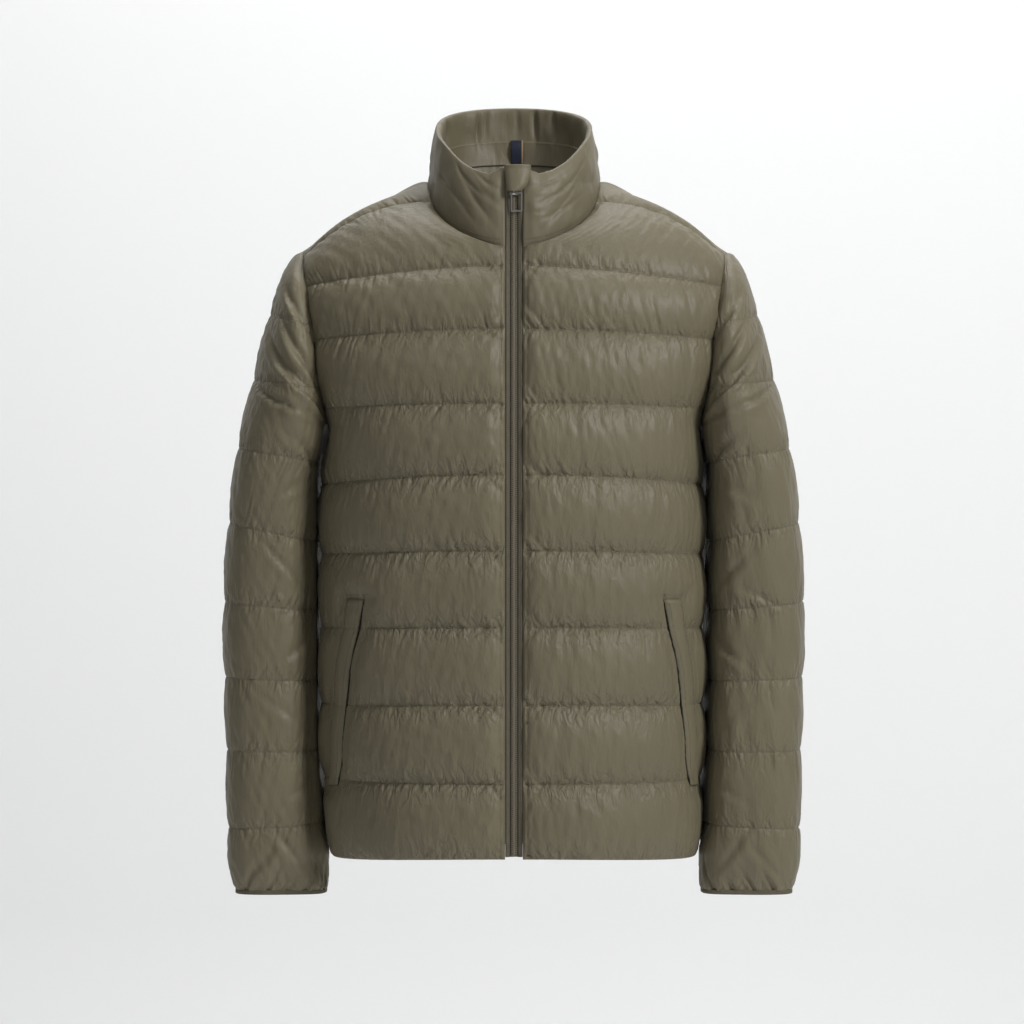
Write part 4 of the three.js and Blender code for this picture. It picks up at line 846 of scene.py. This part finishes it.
def collar_top(degrees):
    """Top edge of the collar by the angle round the neck: an ellipse that slopes up to the back and rises a
    little at the sides."""
    a = np.radians(degrees)
    c, s = np.cos(a), np.sin(a)
    return np.stack([COLLAR_TOP["half"] * s, COLLAR_TOP["y"] - COLLAR_TOP["depth"] * c,
                     COLLAR_TOP["z"] - COLLAR_TOP["slope"] * c + COLLAR_TOP["rise"] * s * s], -1)


def collar_out(degrees):
    """Level outward direction at each angle round the neck."""
    p = neckline(degrees)
    flat = unit(np.stack([p[..., 0], p[..., 1] - NECK["y"]], -1))
    return np.concatenate([flat, 0 * flat[..., :1]], -1)


def collar_point(degrees, h):
    """Seam surface of the collar, its ends kept 9.2 mm from the middle at every height h (0 to 1)."""
    radius = NECK["half"] + (COLLAR_TOP["half"] - NECK["half"]) * h
    first = np.degrees(np.arcsin(9.2 / radius))
    opened = 90 - (90 - degrees) * (90 - first) / (90 - CORNER_DEG)
    angle = np.where(degrees < 90, opened, degrees)
    low, high = neckline(angle), collar_top(angle)
    return low + (high - low) * h[..., None]


def collar_thick(h):
    """Thickness of the padded collar: full up most of its height and rounded off at the top edge."""
    return 2.0 + 9.0 * np.sqrt(np.clip(1 - h**5, 0, 1))


def collar_grid():
    """Outer and inner side of both halves, from the neck seam up to the rounded top edge, whose front sags
    beside the chin guard. Folds and soft waves are added to the outer side and creases to the inner."""
    rng = np.random.default_rng(41)
    half = CORNER_DEG + (180 - CORNER_DEG) * np.linspace(0, 1, COLLAR_HALF_COLUMNS)
    degrees = np.concatenate([half, half[-2::-1]])
    way = np.concatenate([np.ones(len(half)), -np.ones(len(half) - 1)])
    h = np.linspace(0, 1, COLLAR_ROWS)
    h = h - 0.06 * np.sin(2 * np.pi * h)
    d, g = np.meshgrid(degrees, h)
    both_sides = np.stack([np.broadcast_to(way, d.shape), 1 + 0 * d, 1 + 0 * d], -1)
    base, out = collar_point(d, g) * both_sides, collar_out(d) * both_sides
    from_zip = np.radians(d) * COLLAR_ROUND
    sag = np.interp(from_zip, (10, 18, 27, 45, 62, 80, 100), (0, 5, 9.5, 9.5, 7, 3, 0)) * g**2
    base = base - sag[..., None] * np.array([0, 0, 1])
    end = ease((degrees - CORNER_DEG) / 7)[None]
    flat = 1 - 0.8 * np.sin(np.radians(d))**4
    bulge = (6 * flat) * swell(g, 0.8) * (0.25 + 0.75 * end)
    soft = 0.9 * waves(base, rng, 42, 14) + 0.45 * waves(base, rng, 17, 14, (1, 1, 0.5))
    arc = from_zip * way[None]
    drop = np.zeros_like(arc)
    for where, height, slant, length, width, depth in COLLAR_FOLDS:
        x = arc - where
        y = (g - height) * COLLAR_HIGH
        along = (x * np.cos(slant) + y * np.sin(slant)) / length
        across = (-x * np.sin(slant) + y * np.cos(slant)) / width
        slope = np.where(across > 0, np.exp(-across * 1.4), np.exp(across * 3))
        drop += depth * np.exp(-along**2) * slope * (1 - np.exp(-(across * 3)**2) * 0.2)
    drop = FOLD_DEPTH * drop
    n_edge = swell(g, 0.5)
    outer = base + out * (bulge + (soft - drop) * n_edge * (0.3 + 0.7 * end))[..., None]
    thick = collar_thick(g) * (0.55 + 0.45 * end)
    inner_soft = 0.9 * waves(base, rng, 30, 14, (1, 1, 0.6)) + inner_creases(d, way, g)
    inner = base + out * (bulge - thick - inner_soft * n_edge)[..., None]
    return outer, inner, h


COLLAR_FOLDS = [
    # place round the neck in mm from the zip (+X side positive), height, slant, length, width, depth as a
    # multiple of FOLD_DEPTH
    (-38, 0.52, -0.95, 26, 4.5, 2.6), (-24, 0.62, -0.85, 18, 3.5, 1.8), (-55, 0.4, -0.8, 20, 5, 1.6),
    (22, 0.62, 0.15, 9, 2.6, 1.2), (24, 0.42, -0.1, 8, 2.4, 1.0), (60, 0.5, 0.7, 22, 5, 1.5),
    (40, 0.3, 0.9, 14, 4, 1.2), (95, 0.45, -0.6, 24, 5, 1.5), (-95, 0.5, 0.5, 22, 5, 1.5),
    (150, 0.4, 0.8, 26, 5, 1.6), (-140, 0.35, -0.7, 26, 5, 1.5), (34, 0.8, 0.15, 22, 3, 2.2),
    (48, 0.62, 0.3, 26, 3.4, 2.2), (52, 0.36, 0.12, 26, 3, 1.8), (-30, 0.85, -0.7, 16, 3, 2.6),
    (-46, 0.74, -0.6, 20, 3.2, 2.4), (-62, 0.85, -0.9, 15, 3, 2.2), (-72, 0.5, -0.3, 24, 4, 2),
    (78, 0.75, 0.5, 22, 3.4, 2.2), (210, 0.55, 0.6, 24, 5, 1.4), (-200, 0.5, 0.9, 24, 5, 1.4),
    (250, 0.35, -0.7, 20, 4, 1.3)]
INNER_CREASES = [
    # x, height of the deepest place, depth as a multiple of INNER_DEPTH
    (-41, 0.75, 4.5), (-33, 0.85, 3.2), (24, 0.8, 4.0), (46, 0.85, 3.4), (-78, 0.7, 3.5), (84, 0.7, 3.5),
    (4, 0.9, 2.0)]
INNER_DEPTH = 1.4


def inner_creases(degrees, way, h):
    """Upright creases inside the back of the collar, deepest near its top edge, at x positions in mm."""
    x = 85 * np.sin(np.radians(degrees)) * way[None]
    total = 0 * h
    for place, top, depth in INNER_CREASES:
        trough = np.exp(-((x - place) / 2.8)**2) * np.exp(-((h - top) / 0.28)**2) * (degrees > 110)
        total -= INNER_DEPTH * depth * trough
    return total


collar_outer, collar_inner, collar_h = collar_grid()
finished(shell("collar_cloth", collar_outer, collar_inner, step=1), olive, "collar")

# Collar facing
# The plain lower half of the collar's inner side, one layer of shell nylon sewn on along the seam that shows
# inside the back of the neck.
FACING_H = (0.1, 0.5)
rows = (collar_h > FACING_H[0]) & (collar_h < FACING_H[1])
inwards = unit(collar_inner - collar_outer)[rows]
lip = 0.5 + 0.7 * np.exp(-((collar_h[rows] - FACING_H[1]) / 0.02)**2)
facing_far = collar_inner[rows] + inwards * 0.45
facing_near = facing_far + inwards * (0.9 + lip)[:, None, None]
obj = shell("collar_facing_cloth", facing_far, facing_near, step=1)
obj.data.materials.append(olive)
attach(obj, "garment")
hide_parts("collar_facing")

# Zip
# A full-length closed zip: two woven tapes sewn behind the front edges, moulded teeth that interlock along
# the middle, and a plated metal slider at the top with a framed pull.
ZIP_TOP = [[corner[2], corner[1]], [-30, -93], [10, -88.5]]
zip_line = curve([[z, y] for _, y, z in FRONT_ROWS[:9, :3]] + ZIP_TOP)
TOOTH = {"pitch": 2.1, "high": 1.35, "from": -692.0, "to": -17.0}


def woven(name, colour, across, along):
    """Tightly woven tape: crossed fine ribs as bump and a slight change of tone."""
    material = bpy.data.materials.new(name)
    material.use_nodes = True
    add_nodes(material, [
        ("place", "ShaderNodeTexCoord", {}, {}),
        ("warp", "ShaderNodeTexWave", {"bands_direction": "X"},
         {"Vector": ("place", "Object"), "Scale": across, "Distortion": 0.6}),
        ("weft", "ShaderNodeTexWave", {"bands_direction": "Z"},
         {"Vector": ("place", "Object"), "Scale": along, "Distortion": 0.6}),
        ("both", "ShaderNodeMath", {"operation": "MULTIPLY"}, {0: ("warp", "Fac"), 1: ("weft", "Fac")}),
        ("tone", "ShaderNodeTexNoise", {}, {"Vector": ("place", "Object"), "Scale": 140.0, "Detail": 4.0}),
        ("bump", "ShaderNodeBump", {}, {"Height": ("both", "Value"), "Strength": 0.7, "Distance": 0.0003}),
        ("colour", "ShaderNodeMix", {"data_type": "RGBA"}, {"Factor": ("tone", "Fac")}),
    ])
    tree = material.node_tree
    tree.nodes["colour"].inputs[6].default_value = tuple(v * 0.75 for v in colour) + (1,)
    tree.nodes["colour"].inputs[7].default_value = tuple(v * 1.2 for v in colour) + (1,)
    shader = tree.nodes["Principled BSDF"]
    tree.links.new(tree.nodes["colour"].outputs[2], shader.inputs["Base Color"])
    tree.links.new(tree.nodes["bump"].outputs["Normal"], shader.inputs["Normal"])
    shader.inputs["Roughness"].default_value = 0.8
    return material


def zip_tape():
    """The visible strip of one tape, +X side: flat by the teeth, rising into a soft fold at the cloth."""
    z = np.linspace(-693, 10, 300)
    across = np.array([0.4, 2.0, 3.6, 4.1, 4.6, 5.2, 5.9, 6.6, 7.3, 7.9, 8.4, 8.8])
    y = zip_line(z)[:, 0][:, None]
    x = across[None] + 0 * y
    behind = 1.9 * ease((4.5 - across) / 0.8)[None]
    rise = 0.9 * np.exp(-((across - 7.3) / 1.1)**2)[None]
    rise = rise + 0.15 * np.sin(z / 3.1)[:, None] * (across > 5)[None]
    face = np.stack([x, y + 1.0 + behind - rise, z[:, None] + 0 * x], -1)
    rear_face = np.stack([x, y + 2.4 + 0.45 * behind, z[:, None] + 0 * x], -1)
    return face, rear_face


def teeth():
    """Interlocking moulded teeth: a six-sided rounded block a pitch, the other side's half a pitch lower."""
    section = np.array([[-0.9, 0.1], [0.1, -0.15], [2.6, 0.0], [3.5, 0.8], [3.2, 2.3], [-0.9, 2.2]])
    middle = section.mean(axis=0)
    places = np.arange(TOOTH["from"], TOOTH["to"], TOOTH["pitch"])
    points, faces = [], []
    for way, shift in ((1, 0.0), (-1, TOOTH["pitch"] / 2)):
        z = places + shift
        y = zip_line(z)[:, 0] + 0.35
        for z0, y0 in zip(z, y):
            first = len(points)
            for level, scale in ((-0.5, 0.8), (-0.3, 1.0), (0.3, 1.0), (0.5, 0.8)):
                for px, py in (section - middle) * scale + middle:
                    points.append((way * px, y0 + py, z0 + level * TOOTH["high"]))
            ring = [list(range(first + 6 * k, first + 6 * k + 6)) for k in range(4)]
            new = [ring[0][::-1], ring[3]]
            for a, b in zip(ring[:-1], ring[1:]):
                new += [[a[k], a[(k + 1) % 6], b[(k + 1) % 6], b[k]] for k in range(6)]
            faces += [f[::-1] for f in new] if way < 0 else new
    mesh = bpy.data.meshes.new("zip_teeth_moulded")
    mesh.from_pydata((np.array(points) * MM).tolist(), [], faces)
    obj = bpy.data.objects.new("zip_teeth_moulded", mesh)
    bpy.context.scene.collection.objects.link(obj)
    return obj


def moulded(name, colour, roughness):
    """Satin moulded plastic with a faint grain."""
    material = bpy.data.materials.new(name)
    material.use_nodes = True
    add_nodes(material, [
        ("place", "ShaderNodeTexCoord", {}, {}),
        ("grain", "ShaderNodeTexNoise", {}, {"Vector": ("place", "Object"), "Scale": 900.0, "Detail": 3.0}),
        ("bump", "ShaderNodeBump", {}, {"Height": ("grain", "Fac"), "Strength": 0.2, "Distance": 0.0001}),
        ("tone", "ShaderNodeValToRGB", {}, {"Fac": ("grain", "Fac")}),
    ])
    tree = material.node_tree
    ramp = tree.nodes["tone"].color_ramp.elements
    ramp[0].color = tuple(v * 0.85 for v in colour) + (1,)
    ramp[1].color = tuple(v * 1.15 for v in colour) + (1,)
    shader = tree.nodes["Principled BSDF"]
    tree.links.new(tree.nodes["tone"].outputs["Color"], shader.inputs["Base Color"])
    tree.links.new(tree.nodes["bump"].outputs["Normal"], shader.inputs["Normal"])
    shader.inputs["Roughness"].default_value = roughness
    return material


def plated(name):
    """Plated metal, satin, with a faint grain."""
    material = moulded(name, (0.55, 0.54, 0.5), 0.32)
    shader = material.node_tree.nodes["Principled BSDF"]
    shader.inputs["Metallic"].default_value = 1.0
    return material


tape = woven("zip tape weave", (0.108, 0.094, 0.066), 420.0, 300.0)
face, rear_face = zip_tape()
for side, a, b in (("left", face, rear_face), ("right", mirror(face), mirror(rear_face))):
    obj = shell("zip_tape_" + side + "_cloth", a, b, step=1)
    obj.data.materials.append(tape)
    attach(obj, "garment")
    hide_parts("zip_tape_" + side)
obj = teeth()
obj.data.materials.append(moulded("zip teeth", (0.16, 0.14, 0.1), 0.4))
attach(obj, "garment")
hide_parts("zip_teeth")
metal = plated("zip metal")
for node in ("zip_slider", "zip_pull"):
    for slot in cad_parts[node].material_slots:
        slot.material = metal

# Chin guard
# A small D-shaped tab of shell nylon, sewn to the wearer's right collar end and folded over the top of the
# zip, where it keeps the slider off the chin.
GUARD_ROWS = [
    # z, x of the left edge, x of the right edge
    [-14.5, -7, 6], [-12, -7.4, 9.5], [-8, -7.9, 13], [-2, -8.5, 15.4], [4, -9.2, 16.8], [9, -9.8, 17.4],
    [13.5, -10.2, 17.6]]


def collar_front_y(x, z):
    """y of the collar's outer side near the zip at each x and z: the straight line from the neck seam to the
    top edge at the angle of x, less the swell of the padding."""
    h = np.linspace(0, 1, 60)
    a = np.maximum(np.degrees(np.arcsin(np.clip(abs(x) / NECK["half"], 0, 1))), CORNER_DEG)
    low, high = neckline(a), collar_top(a)
    up = np.clip((np.minimum(z, 9.0) - low[..., 2]) / (high[..., 2] - low[..., 2]), 0, 1)
    return low[..., 1] + (high[..., 1] - low[..., 1]) * up - 6 * np.interp(up, h, swell(h))


def chin_guard():
    """Rows up the tab: arched over the slider, thin and rounded at every edge, with a stitched hem."""
    z = np.linspace(-14.5, 13.5, 29)
    share = np.linspace(0, 1, 25)
    left_x, right_x = curve(GUARD_ROWS)(z).T
    x = left_x[:, None] + (right_x - left_x)[:, None] * share[None]
    zz = z[:, None] + 0 * x
    arch = 5 * np.sin(np.pi * share)[None]**0.7
    hem = np.minimum(np.minimum(share, 1 - share)[None] * 24, np.minimum(z + 14.5, 13.5 - z)[:, None] + 0.4)
    groove = 0.3 * np.exp(-((hem - 2.0) / 0.45)**2)
    y = collar_front_y(x, zz) - 0.5 - arch
    thick = 0.7 + 0.9 * np.sqrt(np.clip(hem / 1.2, 0, 1))
    return np.stack([x, y - thick + groove, zz], -1), np.stack([x, y, zz], -1)


obj = shell("chin_guard_cloth", *chin_guard(), step=1)
obj.data.materials.append(olive)
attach(obj, "garment")
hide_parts("chin_guard")

# Pocket welts
# A folded strip of shell nylon along the front edge of each slanting hand pocket, stitched down at both ends
# and along its back edge. A thin near-black tube along its front edge is painted shade: the shadow in the
# pocket's mouth.
def welt(panel):
    """The strip over the front's own cloth: each row runs from the welt's front edge to its back edge."""
    t, u, (first, last) = panel["t"], panel["u"], panel["welt"]
    rows = np.flatnonzero((t >= 0.9) & (t <= 3.4))
    share = np.array([0, 0.03, 0.08, 0.16, 0.3, 0.45, 0.6, 0.74, 0.86, 0.94, 0.98, 1])
    cloth, n = [], []
    for i in rows:
        at = first[i] + (last[i] - first[i]) * share
        cloth.append([np.interp(at, u, panel["cloth"][i, :, k]) for k in range(3)])
        n.append([np.interp(at, u, panel["n"][i, :, k]) for k in range(3)])
    cloth, n = np.moveaxis(np.array(cloth), 1, 2), np.moveaxis(np.array(n), 1, 2)
    end = np.minimum(np.arange(len(rows)), len(rows) - 1 - np.arange(len(rows)))[:, None]
    round_over = np.sqrt(np.sin(np.pi * np.clip(share, 0.02, 0.98)))[None]
    raised = 1.2 + 2.4 * round_over * (0.5 + 0.5 * ease(end / 4))
    groove = 0.8 * np.exp(-((share - 0.16) / 0.04)**2)[None] + 0.8 * np.exp(-((share - 0.86) / 0.04)**2)[None]
    return cloth + n * (raised - groove)[..., None], cloth + n * 0.5


face, under_face = welt(left)
right_face, right_under = welt(right)
for side, a, b in (("left", face, under_face), ("right", mirror(right_face), mirror(right_under))):
    obj = shell("pocket_welt_" + side + "_cloth", a, b, step=1)
    obj.data.materials.append(olive)
    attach(obj, "garment")
    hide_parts("pocket_welt_" + side)


def mouth_shade_tube(name, path, up, radius, material):
    """Painted shade in a pocket's mouth: a thin closed near-black tube along a path, of rings of six points,
    rounded off at both ends."""
    ahead = unit(np.gradient(path, axis=0))
    across = unit(np.cross(ahead, up))
    up = np.cross(across, ahead)
    place = np.arange(len(path))
    size = radius * np.sqrt(np.clip(np.minimum(place, place[::-1]) / 3, 0.05, 1))
    angle = np.arange(7) * np.pi / 3
    rings = path[:, None] + size[:, None, None] * (np.cos(angle)[None, :, None] * across[:, None]
                                                   + np.sin(angle)[None, :, None] * up[:, None])
    faces = [[7 * i + k, 7 * i + k + 1, 7 * i + k + 8, 7 * i + k + 7]
             for i in range(len(path) - 1) for k in range(6)]
    faces += [list(range(5, -1, -1)), list(range(7 * len(path) - 7, 7 * len(path) - 1))]
    faces = [[v - 6 if v % 7 == 6 else v for v in face] for face in faces]
    mesh = bpy.data.meshes.new(name)
    mesh.from_pydata((rings * MM).reshape(-1, 3).tolist(), [], faces)
    mesh.materials.append(material)
    mesh.shade_smooth()
    obj = bpy.data.objects.new(name, mesh)
    bpy.context.scene.collection.objects.link(obj)
    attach(obj, "garment")


# Near-black nylon that paints the shadow inside each pocket mouth, under the welt's front edge.
mouth_shade = nylon("pocket mouth painted shade", (0.016, 0.014, 0.010))
for side, strip, turn in (("left", face, np.array([1, 1, 1])), ("right", right_face, np.array([-1, 1, 1]))):
    up = normals(strip)
    path = (strip[:, 0] + up[:, 0] * 0.35) * turn
    mouth_shade_tube("pocket_mouth_shade_" + side, path, up[:, 0] * turn, 0.8, mouth_shade)

# Hanger loop
# A short navy tape with a tan selvedge, its two ends sewn into the collar seams inside the back of the neck.
LOOP = {"left": -3.0, "right": 9.8, "top": 54.0, "bottom": 29.0, "arch": 3.0}


def hanger_loop():
    """Rows up the tape, standing off the facing in a shallow arch, its ends tucked close."""
    z = np.linspace(LOOP["bottom"], LOOP["top"], 27)
    x = np.linspace(LOOP["left"], LOOP["right"], 15)
    middle = facing_near.shape[1] // 2
    wall = facing_near[:, middle]
    order = np.argsort(wall[:, 2])
    y = np.interp(z, wall[order, 2], wall[order, 1])[:, None] - 0.9 + 0 * x[None]
    arch = LOOP["arch"] * np.sin(np.pi * (z - LOOP["bottom"]) / (LOOP["top"] - LOOP["bottom"]))[:, None]
    curl = 0.4 * ((x - x.mean()) / 6)[None]**2
    grid = np.stack([x[None] + 0 * z[:, None], y - arch + curl, z[:, None] + 0 * x[None]], -1)
    return grid, grid - np.array([0, 1.2, 0])


loop_far, loop_near = hanger_loop()
obj = shell("hanger_loop_tape", loop_near, loop_far, step=1)
navy = woven("navy tape", (0.012, 0.017, 0.04), 380.0, 380.0)
tree = navy.node_tree
add_nodes(navy, [
    ("sides", "ShaderNodeSeparateXYZ", {}, {0: ("place", "Object")}),
    ("edge", "ShaderNodeMath", {"operation": "GREATER_THAN"}, {0: ("sides", "X"), 1: 0.0082}),
    ("trim", "ShaderNodeMix", {"data_type": "RGBA"}, {"Factor": ("edge", "Value")}),
])
tree.links.new(tree.nodes["colour"].outputs[2], tree.nodes["trim"].inputs[6])
tree.nodes["trim"].inputs[7].default_value = (0.3, 0.2, 0.1, 1)
tree.links.new(tree.nodes["trim"].outputs[2], tree.nodes["Principled BSDF"].inputs["Base Color"])
obj.data.materials.append(navy)
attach(obj, "garment")
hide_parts("hanger_loop")

# Stitching
# Polyester thread in the cloth's colour: one lock-stitch line in every quilt seam, and topstitching beside
# the zip, on the pocket welts, across the pocket tops and round the foot of the collar.
STITCH = {"pitch": 3.2, "long": 2.3, "half": 0.32, "high": 0.28}


def stitches(name, lines):
    """One mesh of small thread dashes: each a four-sided bead laid along its line and raised a little."""
    places, tangents, ups = [], [], []
    for path, up in lines:
        run = np.concatenate([[0], np.linalg.norm(np.diff(path, axis=0), axis=-1).cumsum()])
        s = np.arange(STITCH["pitch"], run[-1] - STITCH["pitch"], STITCH["pitch"])
        p = np.stack([np.interp(s, run, path[:, k]) for k in range(3)], -1)
        ahead = np.stack([np.interp(s + 1, run, path[:, k]) for k in range(3)], -1)
        places.append(p)
        tangents.append(unit(ahead - p))
        ups.append(unit(np.stack([np.interp(s, run, up[:, k]) for k in range(3)], -1)))
    p, along, up = (np.concatenate(v) for v in (places, tangents, ups))
    side = unit(np.cross(along, up))
    up = np.cross(side, along)
    angle = np.arange(4) * np.pi / 2
    rings = []
    for reach, size in ((-0.5, 0.4), (0.0, 1.0), (0.5, 0.4)):
        middle = p + along * reach * STITCH["long"] + up * STITCH["high"] * (0.2 + 0.8 * size)
        rings.append(middle[:, None] + side[:, None] * (np.cos(angle) * STITCH["half"] * size)[None, :, None]
                     + up[:, None] * (np.sin(angle) * STITCH["high"] * size)[None, :, None])
    points = np.stack(rings, 1).reshape(-1, 3)
    first = (np.arange(len(p)) * 12)[:, None, None]
    k = np.arange(4)
    next_k = (k + 1) % 4
    quads = np.concatenate([np.stack([k, next_k, next_k + 4, k + 4], -1) + 4 * r for r in range(2)])
    quads = np.concatenate([quads, k[None, ::-1], k[None] + 8])
    faces = (first + quads[None])[..., ::-1].reshape(-1, 4).tolist()
    mesh = bpy.data.meshes.new(name)
    mesh.from_pydata((points * MM).tolist(), [], faces)
    mesh.shade_smooth()
    obj = bpy.data.objects.new(name, mesh)
    bpy.context.scene.collection.objects.link(obj)
    return obj


def quilt_lines(panel, t, lines, flip=False):
    """The cloth's own points and normals along its quilt lines, on the other side if flipped."""
    turn = [-1, 1, 1] if flip else [1, 1, 1]
    rows = [int(np.argmin(abs(t - k))) for k in lines]
    return [(panel["cloth"][i] * turn, panel["n"][i] * turn) for i in rows]


thread = moulded("thread", (0.14, 0.12, 0.085), 0.6)
body_lines = quilt_lines(left, left["t"], range(1, 10)) + quilt_lines(right, right["t"], range(1, 10), True)
body_lines += quilt_lines(rear, rear["t"], range(1, 10))
for panel, strip, turn in ((left, face, np.array([1, 1, 1])), (right, right_face, np.array([-1, 1, 1]))):
    rows = panel["t"] < 8.4
    column = int(np.argmin(abs(run_along(panel["base"], 1)[60] - TOPSTITCH)))
    body_lines.append((panel["cloth"][rows, column] * turn, panel["n"][rows, column] * turn))
    up = normals(strip)
    body_lines += [(strip[:, column] * turn, up[:, column] * turn) for column in (3, 8)]
    i = int(np.argmin(abs(panel["t"] - 3.46)))
    wide = (panel["u"] > panel["welt"][0][i] - 0.035) & (panel["u"] < panel["welt"][1][i] + 0.035)
    body_lines.append((panel["cloth"][i, wide] * turn, panel["n"][i, wide] * turn))
for height in (0.06, 0.11):
    i = int(np.argmin(abs(collar_h - height)))
    body_lines.append((collar_outer[i], unit(collar_outer - collar_inner)[i]))
sleeve_lines = quilt_lines(left_sleeve, left_sleeve["r"], SLEEVE_LINES[1:-1])
sleeve_lines += quilt_lines(right_sleeve, right_sleeve["r"], SLEEVE_LINES[1:-1], True)
for name, lines in (("quilt_stitches_body", body_lines), ("quilt_stitches_sleeves", sleeve_lines)):
    obj = stitches(name, lines)
    obj.data.materials.append(thread)
    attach(obj, "garment")

# Stage
# A plain pale studio: floor and backdrop in one, a large soft key light from the image's right, and the
# camera 4 m away, level, at the photograph's viewing angle.
def light(name, place, target, size, power):
    """A round soft light at a place, turned to its target."""
    data = bpy.data.lights.new(name, "AREA")
    data.shape = "DISK"
    data.size = size
    data.energy = power
    obj = bpy.data.objects.new(name, data)
    obj.location = place
    obj.rotation_euler = (Vector(target) - Vector(place)).to_track_quat("-Z", "Y").to_euler()
    bpy.context.scene.collection.objects.link(obj)


profile = [(-6, -1.7), (1.2, -1.7), (1.7, -1.62), (2.05, -1.4), (2.2, -1.0), (2.2, 4.5)]
stage_mesh = bpy.data.meshes.new("studio")
stage_mesh.from_pydata([(x, y, z) for y, z in profile for x in (-6, 6)], [],
                       [(2 * i, 2 * i + 1, 2 * i + 3, 2 * i + 2) for i in range(len(profile) - 1)])
stage_mesh.shade_smooth()
studio = bpy.data.objects.new("studio", stage_mesh)
bpy.context.scene.collection.objects.link(studio)
paper = bpy.data.materials.new("studio paper")
paper.use_nodes = True
paper.node_tree.nodes["Principled BSDF"].inputs["Base Color"].default_value = (0.9, 0.905, 0.905, 1)
paper.node_tree.nodes["Principled BSDF"].inputs["Roughness"].default_value = 0.9
studio.data.materials.append(paper)

light("key", (2.8, -2.5, 1.75), (0, 0, -0.4), 1.2, 116)
light("fill", (-1.9, -3.5, 1.9), (0, 0, -0.35), 1.2, 21)
light("top", (0.3, -1.1, 2.6), (0, 0, -0.3), 1.2, 8)
light("backdrop", (0, 0.9, 2.8), (0, 2.2, -0.4), 2.5, 70)
world = bpy.data.worlds.new("studio")
world.use_nodes = True
world.node_tree.nodes["Background"].inputs["Color"].default_value = (1, 1, 1, 1)
world.node_tree.nodes["Background"].inputs["Strength"].default_value = 0.15
bpy.context.scene.world = world

camera = bpy.data.objects.new("camera", bpy.data.cameras.new("camera"))
camera.data.sensor_width = 36
camera.data.lens = 36 * 4000 / (1024 * 1.05)
camera.location = (-0.002, -4.0, -0.343)
camera.rotation_euler = (np.pi / 2, 0, 0)
bpy.context.scene.collection.objects.link(camera)
bpy.context.scene.camera = camera
bpy.context.scene.view_settings.view_transform = "Standard"
